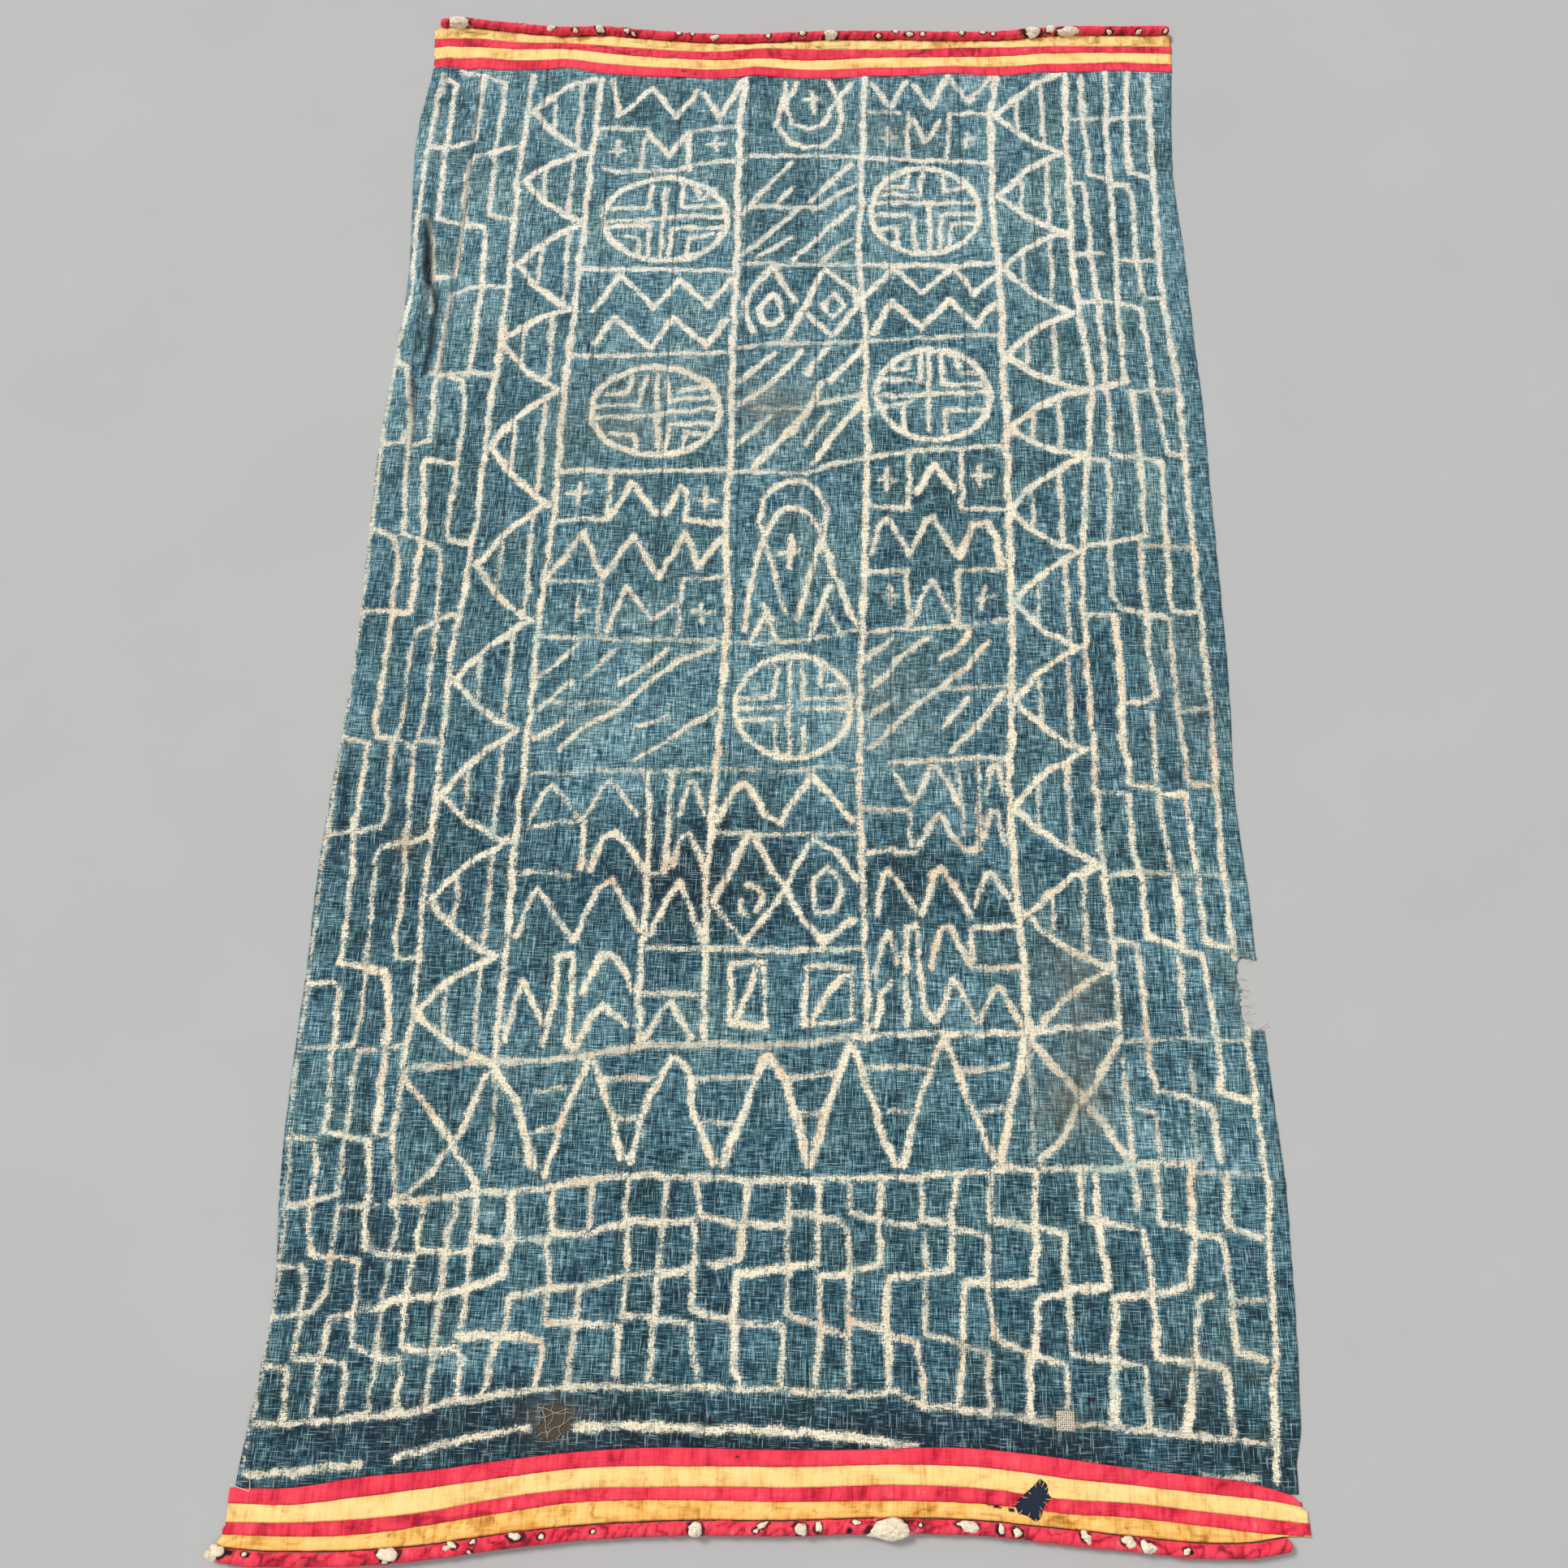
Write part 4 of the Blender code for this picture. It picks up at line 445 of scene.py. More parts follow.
# Creases: from across, from along, to across, to along, height, reach to each side
CREASES = (
    (-1.2, 172.0, -0.6, 136.0, -0.28, 0.7), (-0.2, 172.0, 0.4, 136.0, 0.25, 1.2),
    (-75.2, 116.0, -74.8, 94.0, -0.22, 0.8), (-74.0, 60.0, -40.0, 44.0, 0.12, 1.6),
    (-60.0, 22.0, -20.0, 24.0, 0.14, 2.2), (-58.0, 26.5, -18.0, 28.0, 0.10, 1.6),
    (48.0, 58.0, 73.0, 49.0, 0.15, 2.0), (50.0, 20.0, 73.0, 28.0, 0.12, 1.6),
    (-38.0, 176.0, -16.0, 188.0, 0.12, 1.8), (24.0, 216.0, 66.0, 196.0, 0.12, 1.8),
    (-10.0, 262.0, -12.0, 246.0, 0.20, 1.6), (29.0, 262.0, 26.0, 250.0, 0.18, 1.8),
    (-66.0, 262.0, -66.5, 244.0, 0.20, 1.4), (-49.0, 261.0, -46.0, 250.0, 0.16, 1.6),
)

# Small holes in the woven cloth, not cut but painted near-black as the shade inside them: across, along, half size
# across, half size along
PIN_HOLES = (
    (-10.3, 14.7, 0.70, 0.55), (44.8, 18.8, 0.45, 0.40), (56.0, 18.8, 0.55, 0.65), (-40.0, 193.6, 0.45, 0.50),
    (-40.6, 195.8, 0.14, 1.30), (67.0, 76.2, 0.25, 0.45), (14.9, 43.5, 0.28, 0.28), (69.2, 259.8, 0.20, 0.30),
)

# Holes that go through: the node's outline of across and along. The hem slits are the exception: they are not cut but
# painted near-black as the shade inside them.
ROTTED_HOLE = (
    (-34.9, 15.6), (-33.6, 16.4), (-32.2, 16.5), (-30.7, 16.0), (-30.3, 14.6), (-30.6, 13.2), (-31.9, 12.2),
    (-33.3, 11.9), (-35.0, 12.1), (-35.3, 13.4), (-34.4, 14.2),
)
EDGE_TEAR = (
    (79.0, 83.6), (74.0, 83.4), (72.4, 83.7), (71.2, 83.2), (71.0, 80.5), (71.4, 78.4), (71.0, 76.0),
    (71.5, 73.4), (72.6, 72.6), (74.2, 72.1), (79.0, 71.6),
)
DARNED_HOLE = ((40.2, 16.9), (41.3, 17.2), (42.0, 16.3), (41.6, 15.1), (40.6, 14.8), (39.9, 15.7))
BORDER_HOLE = (
    (37.0, 8.6), (37.5, 8.2), (38.0, 7.7), (38.0, 6.6), (38.6, 6.1), (37.7, 5.4), (37.2, 4.6), (36.8, 3.5),
    (36.2, 3.1), (35.2, 3.7), (33.7, 4.1), (33.2, 5.3), (34.3, 6.2), (35.2, 6.9), (36.2, 7.8),
)
HEM_SLITS = (
    ((28.9, 5.4), (29.3, 5.6), (30.2, 5.3), (31.4, 4.9), (31.2, 4.6), (30.0, 4.9), (29.2, 5.1)),
    ((32.2, 4.8), (33.2, 4.6), (33.1, 4.3), (32.3, 4.4)),
)

# Deep creases painted dark as their shade: width, strength, then across and along of each point
CREASE_SHADE_LINES = (
    (0.80, 1.00, -73.9, 223.0, -73.0, 218.5, -72.6, 212.5, -71.9, 209.5, -70.6, 206.6, -69.9, 203.4, -70.3, 201.1, -70.4, 196.3,
     -70.7, 191.4, -70.6, 189.7),
    (0.45, 0.70, -72.4, 187.4, -72.0, 182.7, -71.4, 177.6, -71.3, 173.7), (0.35, 0.55, -75.2, 116.0, -74.8, 94.0),
    (0.40, 0.60, -66.8, 255.0, -67.2, 224.0, -67.9, 190.0), (0.30, 0.45, -53.5, 262.0, -53.9, 246.0),
    (0.35, 0.60, -0.7, 172.0, -0.4, 137.0), (0.30, 0.40, -10.9, 261.0, -12.2, 247.0), (0.30, 0.40, 28.0, 261.0, 26.8, 250.0),
)

# Tears in the rolls with the cotton showing: across, along, long, wide, lean in degrees
NEAR_TEARS = (
    (-78.3, -1.5, 2.2, 1.7, 30.0), (-74.4, -2.0, 0.9, 0.6, 20.0), (-54.4, -2.6, 2.9, 1.5, 5.0), (-54.7, -3.5, 1.0, 0.7, 0.0), (-45.6, -1.1, 1.4, 0.8, 30.0),
    (-42.7, -0.6, 0.9, 0.7, -20.0), (-43.1, -2.2, 0.7, 0.6, 0.0), (-36.8, 0.0, 2.2, 1.1, 8.0), (-33.2, 0.1, 0.9, 0.7, 0.0),
    (-26.1, 0.8, 0.6, 0.5, 0.0), (-11.7, 1.5, 2.0, 1.7, 40.0), (-2.3, 2.4, 1.8, 0.8, -35.0), (-3.3, 1.4, 0.8, 0.6, 0.0),
    (3.0, 1.8, 1.9, 1.5, 50.0), (5.5, 2.1, 1.0, 1.3, 0.0), (10.7, 2.8, 1.4, 0.6, 5.0), (15.3, 2.1, 5.6, 2.2, -12.0),
    (19.8, 2.7, 0.6, 0.5, 0.0), (26.4, 2.9, 2.7, 1.2, 4.0), (31.0, 2.4, 0.9, 1.4, 0.0), (33.2, 2.1, 1.4, 1.0, 30.0),
    (42.7, 2.0, 1.1, 1.5, 10.0), (48.6, 1.5, 1.7, 1.2, -20.0), (51.2, 0.9, 1.8, 1.4, 25.0), (56.7, 0.4, 1.0, 0.8, 0.0),
)
FAR_TEARS = (
    (-72.2, 272.2, 3.6, 2.2, -10.0), (-59.4, 272.5, 1.2, 0.9, 20.0), (-53.0, 271.3, 1.3, 1.0, 0.0), (-48.3, 270.6, 1.2, 0.9, 0.0),
    (-43.2, 271.1, 1.8, 1.5, 40.0), (-37.7, 270.6, 1.2, 1.0, 30.0), (-36.4, 269.6, 0.9, 0.8, 0.0), (-27.0, 270.2, 1.2, 0.9, 0.0),
    (-24.3, 270.1, 0.9, 0.8, 0.0), (-19.5, 269.5, 1.2, 0.8, 0.0), (-8.8, 270.0, 1.1, 0.8, 10.0), (-1.8, 270.8, 1.2, 1.0, 0.0),
    (4.0, 270.5, 2.8, 1.6, -20.0), (13.6, 270.1, 1.1, 0.8, 0.0), (17.1, 271.7, 1.1, 0.9, 0.0), (19.9, 271.1, 1.6, 0.8, 0.0),
    (22.7, 271.2, 0.9, 0.8, 0.0), (30.7, 271.6, 1.2, 0.9, 30.0), (35.0, 271.9, 1.2, 0.9, 0.0), (37.0, 271.5, 0.9, 0.7, 0.0),
    (44.9, 272.3, 3.4, 1.9, 12.0), (48.4, 272.9, 1.1, 0.9, 0.0), (52.1, 272.3, 3.8, 2.0, -10.0), (60.9, 272.5, 1.2, 0.9, 0.0),
    (66.9, 273.1, 1.1, 0.9, 0.0), (72.4, 273.2, 1.0, 0.8, 0.0),
)

# Loose threads: points of across and along
LOOSE_THREADS = (
    (-78.1, 5.1, -76.7, 4.7, -75.2, 4.3, -75.4, 5.5, -75.7, 6.8), (-70.1, 216.0, -69.4, 215.1, -69.3, 212.8, -67.6, 211.4),
)

# Small slits in the border bands, painted near-black as the shade inside them: across, along, half size across, half
# size along
BORDER_SLITS = (
    (-6.2, 10.3, 0.30, 0.18), (-25.7, 261.9, 0.55, 0.16), (-23.6, 261.4, 0.45, 0.14), (73.6, 1.0, 0.25, 0.40),
)

# Black holes in the near roll, painted near-black as the shade inside them and pressed in a little: across, along, half
# size
ROLL_HOLES = (
    (-76.7, -0.9, 0.60), (-73.9, -1.6, 0.42), (9.8, 1.7, 0.50), (30.6, 2.2, 0.40), (33.9, 2.2, 0.35), (57.3, 0.2, 0.40),
    (-55.8, -2.2, 0.35), (13.0, 2.9, 0.30),
)

STRIPS = tuple(f"strip_{i:02d}" for i in range(1, 12))
NEAR_BANDS = ("near_inner_red", "near_inner_yellow", "near_outer_red", "near_outer_yellow")
FAR_BANDS = ("far_inner_red", "far_inner_yellow", "far_outer_red", "far_outer_yellow")
ACROSS, ALONG, UP = 0, 1, 2
FLOOR_NAME = "floor"
STITCH_STEP = 0.6
FOLD_SPAN = (186.0, 262.0)
NEAR_REACH = (-77.4, 72.2)
FAR_REACH = (-76.2, 73.2)


TABLES, faces_of = {}, {}


def lattice(x, y, pitch_x, pitch_y, seed):
    """Smooth noise from -1 to 1 whose bumps are about one pitch wide."""
    size = 256
    if seed not in TABLES:
        TABLES[seed] = np.random.default_rng(seed).uniform(-1.0, 1.0, (size, size))
    table = TABLES[seed]
    fx, fy = np.asarray(x) / pitch_x + 40.37, np.asarray(y) / pitch_y + 71.13
    ix, iy = np.floor(fx).astype(int), np.floor(fy).astype(int)
    tx, ty = fx - ix, fy - iy
    tx, ty = tx * tx * (3.0 - 2.0 * tx), ty * ty * (3.0 - 2.0 * ty)
    ix, iy, jx, jy = ix % size, iy % size, (ix + 1) % size, (iy + 1) % size
    low = table[ix, iy] * (1.0 - tx) + table[jx, iy] * tx
    high = table[ix, jy] * (1.0 - tx) + table[jx, jy] * tx
    return low * (1.0 - ty) + high * ty


def step(low, high, value):
    t = np.clip((value - low) / (high - low), 0.0, 1.0)
    return t * t * (3.0 - 2.0 * t)


def ridges(x, y, pitch_x, pitch_y, seed, narrow=4.0):
    """Thin wandering lines, 1 on each line and 0 away from it."""
    return 1.0 - np.minimum(1.0, np.abs(lattice(x, y, pitch_x, pitch_y, seed)) * narrow)


def segment_distance(x, y, a, b):
    """Distance to the segment from a to b, and how far along it the nearest place is, from 0 to 1."""
    dx, dy = b[0] - a[0], b[1] - a[1]
    t = np.clip(((x - a[0]) * dx + (y - a[1]) * dy) / (dx * dx + dy * dy + 1e-9), 0.0, 1.0)
    return np.hypot(x - a[0] - t * dx, y - a[1] - t * dy), t


def inside(x, y, outline):
    """Which points lie inside a closed outline."""
    found = np.zeros(np.shape(x), bool)
    for (ax, ay), (bx, by) in zip(outline, outline[1:] + outline[:1]):
        if ay != by:
            found ^= ((ay > y) != (by > y)) & (x < (bx - ax) * (y - ay) / (by - ay) + ax)
    return found


class Reach:
    """How far the named nodes' solids reach across, along and up, in table centimetres."""

    def __init__(self, *names):
        points, edges, count = [], [], 0
        for name in names:
            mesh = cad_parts[name].data
            co = np.empty(len(mesh.vertices) * 3)
            mesh.vertices.foreach_get("co", co)
            pairs = np.empty(len(mesh.edges) * 2, int)
            mesh.edges.foreach_get("vertices", pairs)
            points.append(co.reshape(-1, 3) / CM + (MIDDLE_ACROSS, MIDDLE_ALONG, 0.0))
            edges.append(pairs.reshape(-1, 2) + count)
            count += len(mesh.vertices)
        points, edges = np.concatenate(points), np.concatenate(edges)
        self.points = points
        self.a, self.b = points[edges[:, 0]], points[edges[:, 1]]

    def at(self, axis, stations, of):
        """Lowest and highest value of one axis where the mesh crosses each station of another."""
        low, high = np.full(len(stations), np.nan), np.full(len(stations), np.nan)
        run = self.b[:, axis] - self.a[:, axis]
        safe = np.where(np.abs(run) < 1e-6, 1e-6, run)
        for i, s in enumerate(stations):
            t = (s - self.a[:, axis]) / safe
            hit = (t >= 0.0) & (t <= 1.0) & (np.abs(run) > 1e-6)
            if hit.any():
                v = self.a[hit, of] + t[hit] * (self.b[hit, of] - self.a[hit, of])
                low[i], high[i] = v.min(), v.max()
        return low, high

    def span(self, axis):
        return self.points[:, axis].min(), self.points[:, axis].max()


def filled(stations, values, skip=None):
    """Values at the stations as a lookup, with gaps and a skipped stretch bridged."""
    good = ~np.isnan(values)
    if skip:
        good &= (stations < skip[0]) | (stations > skip[1])
    xs, vs = stations[good], values[good]
    return lambda where: np.interp(where, xs, vs)


def blur(grid, sigma):
    """A soft average over the grid, sigma in cells."""
    reach = int(3 * sigma + 1)
    taps = np.exp(-0.5 * (np.arange(-reach, reach + 1) / sigma) ** 2)
    taps /= taps.sum()
    for axis in (0, 1):
        wide = np.pad(grid, [(reach, reach) if i == axis else (0, 0) for i in (0, 1)], mode="edge")
        out = np.zeros_like(grid)
        for k, w in enumerate(taps):
            out += w * (wide[k:k + grid.shape[0], :] if axis == 0 else wide[:, k:k + grid.shape[1]])
        grid = out
    return grid


class Heights:
    """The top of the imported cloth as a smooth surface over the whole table."""

    def __init__(self, names):
        self.x = np.arange(-84.0, 80.0, RELIEF_STEP)
        self.y = np.arange(-9.0, 279.0, RELIEF_STEP)
        verts, faces = [], []
        for name in names:
            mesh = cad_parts[name].data
            base = len(verts)
            verts.extend(tuple(v.co) for v in mesh.vertices)
            faces.extend([base + i for i in p.vertices] for p in mesh.polygons)
        tree = BVHTree.FromPolygons(verts, faces)
        down = Vector((0.0, 0.0, -1.0))
        grid = np.full((len(self.y), len(self.x)), np.nan)
        for j, along in enumerate(self.y):
            for i, across in enumerate(self.x):
                hit = tree.ray_cast(Vector(((across - MIDDLE_ACROSS) * CM, (along - MIDDLE_ALONG) * CM, 0.2)), down)
                if hit[0] is not None:
                    grid[j, i] = hit[0].z / CM
        for _ in range(400):
            bad = np.isnan(grid)
            if not bad.any():
                break
            total, count = np.zeros_like(grid), np.zeros_like(grid)
            for dj, di in ((0, 1), (0, -1), (1, 0), (-1, 0)):
                moved = np.roll(grid, (dj, di), (0, 1))
                ok = ~np.isnan(moved)
                total[ok] += moved[ok]
                count[ok] += 1
            grab = bad & (count > 0)
            grid[grab] = total[grab] / count[grab]
        tight, loose = blur(grid, 1.1), blur(grid, 2.6)
        crisp = np.maximum(step(-64.0, -68.0, self.x)[None, :],
                           np.maximum(step(15.0, 11.0, self.y), step(257.0, 261.0, self.y))[:, None])
        self.grid = tight * crisp + loose * (1.0 - crisp)

        row = np.arange(FOLD_SPAN[0], FOLD_SPAN[1], 1.0)
        places = np.arange(-76.0, -70.0, 0.25)
        crest = [places[np.argmax(self.read(places, np.full(places.shape, along)))] for along in row]
        crest = np.convolve(np.pad(crest, 3, mode="edge"), np.ones(7) / 7.0, mode="valid")
        self.crest = lambda y: np.interp(y, row, crest)

    def __call__(self, x, y):
        """The height at each place. The long fold at the left leans over its own hollow."""
        past = x - self.crest(y)
        here = step(FOLD_SPAN[0], FOLD_SPAN[0] + 6.0, y) * step(4.0, 2.2, past)
        return self.read(x + 1.3 * np.clip(past, 0.0, 1.2) * here, y)

    def read(self, x, y):
        fx = np.clip((x - self.x[0]) / RELIEF_STEP, 0, len(self.x) - 1.001)
        fy = np.clip((y - self.y[0]) / RELIEF_STEP, 0, len(self.y) - 1.001)
        ix, iy = fx.astype(int), fy.astype(int)
        tx, ty = fx - ix, fy - iy
        g = self.grid
        return ((g[iy, ix] * (1 - tx) + g[iy, ix + 1] * tx) * (1 - ty)
                + (g[iy + 1, ix] * (1 - tx) + g[iy + 1, ix + 1] * tx) * ty)


def relief(x, y):
    """Wrinkles of the slack cloth and its long creases, in centimetres."""
    out = 0.065 * lattice(x, y, 3.4, 5.0, 3) + 0.040 * lattice(x, y, 1.4, 1.8, 4) + 0.07 * lattice(x, y, 9.0, 7.0, 5)
    out += 0.10 * lattice(x, y, 2.4, 9.0, 6) * step(232.0, 258.0, y)
    out += 0.07 * lattice(x, y, 2.6, 7.0, 8) * step(30.0, 14.0, y)
    out -= 0.05 * ridges(x + 0.3 * y, y, 9.0, 14.0, 9, 7.0)
    for ax, ay, bx, by, high, wide in CREASES:
        d, t = segment_distance(x, y, (ax, ay), (bx, by))
        out += high * np.exp(-(d / wide) ** 2) * np.sin(np.pi * np.clip(t, 0.04, 0.96)) ** 0.6
    return out


def teeth(points):
    """Strokes for a column of bell-shaped teeth and the two bars inside each, from base and tip points."""
    rows, sides = [], []
    for i, (start, end) in enumerate(zip(points, points[1:])):
        start, end = np.array(start), np.array(end)
        base, tip = (start, end) if i % 2 == 0 else (end, start)
        outward = 1.0 if i % 2 == 0 else -1.0
        mid = base + 0.55 * (tip - base) + np.array((0.0, 2.0 * TOOTH_BULGE * outward))
        t = np.linspace(0.0, 1.0, 6)[:, None]
        curve = (1 - t) ** 2 * base + 2 * t * (1 - t) * mid + t * t * tip
        rows.append((TOOTH_WIDTH, 1.0, *curve.ravel()))
        sides.append(curve)
    for upper, lower in zip(sides[0::2], sides[1::2]):
        tip = upper[-1]
        for depth, width in ((SHORT_BAR_IN, 0.6), (LONG_BAR_IN, 0.7)):
            turn = math.copysign(1.0, upper[0][0] - tip[0])
            x = tip[0] + turn * depth
            ys = [np.interp(x * turn, side[::-1, 0] * turn, side[::-1, 1]) for side in (upper, lower)]
            rows.append((width, 0.85, x, ys[0], x, ys[1]))
    return rows


def discs():
    """Strokes for the quartered discs: each rim and the angled lines inside it."""
    rows = [(0.68, 0.95, *mark) for mark in DISC_MARKS]
    for cx, cy, half_x, half_y in DISCS:
        turn = np.linspace(0.0, 2.0 * math.pi, 25)
        ring = np.stack([cx + half_x * np.cos(turn), cy + half_y * np.sin(turn)], -1)
        rows.append((1.0, 1.0, *ring.ravel()))
    return rows


def lines(x, y, table):
    """How strongly each place lies on the lines of a table of widths, strengths and points."""
    out = np.zeros(x.shape)
    for row in table:
        points = np.array(row[2:]).reshape(-1, 2)
        for a, b in zip(points, points[1:]):
            d, _ = segment_distance(x + 0.25 * lattice(x, y, 1.5, 2.5, 26), y, a, b)
            out = np.maximum(out, row[1] * np.exp(-(d / row[0]) ** 2))
    return out


def resist(x, y):
    """Distance to the edge of the nearest undyed stroke, below 0 inside it, and how clear that stroke is."""
    reach, clear = np.full(x.shape, 3.0), np.zeros(x.shape)
    flat_x, flat_y = x.ravel(), y.ravel()
    reach, clear = reach.ravel(), clear.ravel()
    box = flat_x.min() - 2.5, flat_x.max() + 2.5
    wobble_x = 0.28 * lattice(flat_x, flat_y, 2.2, 2.2, 21) + 0.10 * lattice(flat_x, flat_y, 0.7, 0.9, 22)
    wobble_y = 0.28 * lattice(flat_x, flat_y, 2.2, 2.2, 23) + 0.10 * lattice(flat_x, flat_y, 0.9, 0.7, 24)
    swell = 0.19 * lattice(flat_x, flat_y, 1.3, 1.3, 25)
    px, py = flat_x + wobble_x, flat_y + wobble_y
    for row in STROKES:
        half = max(row[0] * 0.5, 0.27)
        points = np.array(row[2:]).reshape(-1, 2)
        for a, b in zip(points, points[1:]):
            if max(a[0], b[0]) < box[0] or min(a[0], b[0]) > box[1]:
                continue
            low, high = np.minimum(a, b) - 2.0, np.maximum(a, b) + 2.0
            near = np.nonzero((px > low[0]) & (px < high[0]) & (py > low[1]) & (py < high[1]))[0]
            if near.size:
                d, _ = segment_distance(px[near], py[near], a, b)
                d = d - half - 0.11 * step(110.0, 190.0, py[near]) + swell[near]
                better = d < reach[near]
                reach[near[better]] = d[better]
                clear[near[better]] = row[1]
    return reach.reshape(x.shape), clear.reshape(x.shape)


def patches(x, y, table):
    out = np.zeros(x.shape)
    for cx, cy, wide, long, power in table:
        out += power * np.exp(-(((x - cx) / wide) ** 2 + ((y - cy) / long) ** 2) * 1.4)
    return out


def grid_piece(name, x, y, z, values, fold, material, thickness, wrap=False):
    """A piece over a grid of table centimetres with its values per point, and its bake layout in folded rows."""
    rows, cols = x.shape
    points = np.stack([x - MIDDLE_ACROSS, y - MIDDLE_ALONG, z], -1).reshape(-1, 3) * CM
    index = np.arange(rows * cols).reshape(rows, cols)
    if wrap:
        index = np.concatenate([index, index[:, :1]], 1)
    a, b, c, d = index[:-1, :-1], index[:-1, 1:], index[1:, 1:], index[1:, :-1]
    faces = np.stack([a, b, c, d], -1).reshape(-1, 4)
    mesh = bpy.data.meshes.new(name)
    mesh.vertices.add(len(points))
    mesh.vertices.foreach_set("co", points.ravel())
    mesh.loops.add(faces.size)
    mesh.loops.foreach_set("vertex_index", faces.ravel().astype(np.int32))
    mesh.polygons.add(len(faces))
    mesh.polygons.foreach_set("loop_start", np.arange(0, faces.size, 4, dtype=np.int32))
    mesh.update(calc_edges=True)
    mesh.polygons.foreach_set("use_smooth", np.ones(len(faces), bool))
    for key, value in values.items():
        layer = mesh.attributes.new(key, "FLOAT", "POINT")
        layer.data.foreach_set("value", np.broadcast_to(value, x.shape).astype(np.float32).ravel())
    n, m = rows - 1, index.shape[1] - 1
    long_axis = n >= m
    count = n if long_axis else m
    i, j = np.meshgrid(np.arange(n), np.arange(m), indexing="ij")
    main, other, other_count = (i, j, m) if long_axis else (j, i, n)
    column = np.minimum(main * fold // count, fold - 1)
    uv = np.empty((n, m, 4, 2))
    corners = ((0, 0), (0, 1), (1, 1), (1, 0))
    for k, (di, dj) in enumerate(corners):
        dm, do = (di, dj) if long_axis else (dj, di)
        uv[..., k, 0] = (column + 0.02 + 0.96 * (other + do) / other_count) / fold
        uv[..., k, 1] = np.clip((main + dm) * fold / count - column, 0.0, 1.0)
    layer = mesh.uv_layers.new(name="OFBake")
    layer.data.foreach_set("uv", uv.astype(np.float32).ravel())
    mesh.materials.append(material)
    piece = bpy.data.objects.new(name, mesh)
    bpy.context.collection.objects.link(piece)
    if thickness:
        solid = piece.modifiers.new("thickness", "SOLIDIFY")
        solid.thickness = thickness * CM
        solid.offset = -1.0
        solid.use_quality_normals = False
    return piece


def mesh_piece(name, verts, faces, material, values=None, smooth=True):
    """A piece from points in metres."""
    mesh = bpy.data.meshes.new(name)
    mesh.from_pydata([tuple(v) for v in verts], [], [tuple(f) for f in faces])
    mesh.update()
    for key, value in (values or {}).items():
        layer = mesh.attributes.new(key, "FLOAT", "POINT")
        layer.data.foreach_set("value", np.broadcast_to(value, len(verts)).astype(np.float32))
    mesh.polygons.foreach_set("use_smooth", np.full(len(mesh.polygons), smooth))
    mesh.materials.append(material)
    piece = bpy.data.objects.new(name, mesh)
    bpy.context.collection.objects.link(piece)
    return piece


def cut_hole(piece, outline, ragged, cuts=HOLE_CUTS):
    """Cuts an outline of table centimetres out of a flat piece, with finer and ragged edges."""
    work = bmesh.new()
    work.from_mesh(piece.data)
    table = np.array(outline)
    low, high = table.min(0) - 0.8, table.max(0) + 0.8

    def place(co):
        return co.x / CM + MIDDLE_ACROSS, co.y / CM + MIDDLE_ALONG

    chosen = []
    for edge in work.edges:
        ends = [place(v.co) for v in edge.verts]
        if all(low[0] < e[0] < high[0] and low[1] < e[1] < high[1] for e in ends):
            chosen.append(edge)
    if chosen and cuts:
        bmesh.ops.subdivide_edges(work, edges=chosen, cuts=cuts, use_grid_fill=True)
    work.faces.ensure_lookup_table()
    centres = np.array([place(f.calc_center_median()) for f in work.faces])
    shift = ragged * lattice(centres[:, 0], centres[:, 1], 0.35, 0.35, 31)
    shift_y = ragged * lattice(centres[:, 0], centres[:, 1], 0.35, 0.35, 32)
    gone = inside(centres[:, 0] + shift, centres[:, 1] + shift_y, tuple(outline))
    bmesh.ops.delete(work, geom=[f for f, g in zip(work.faces, gone) if g], context="FACES")
    work.to_mesh(piece.data)
    work.free()


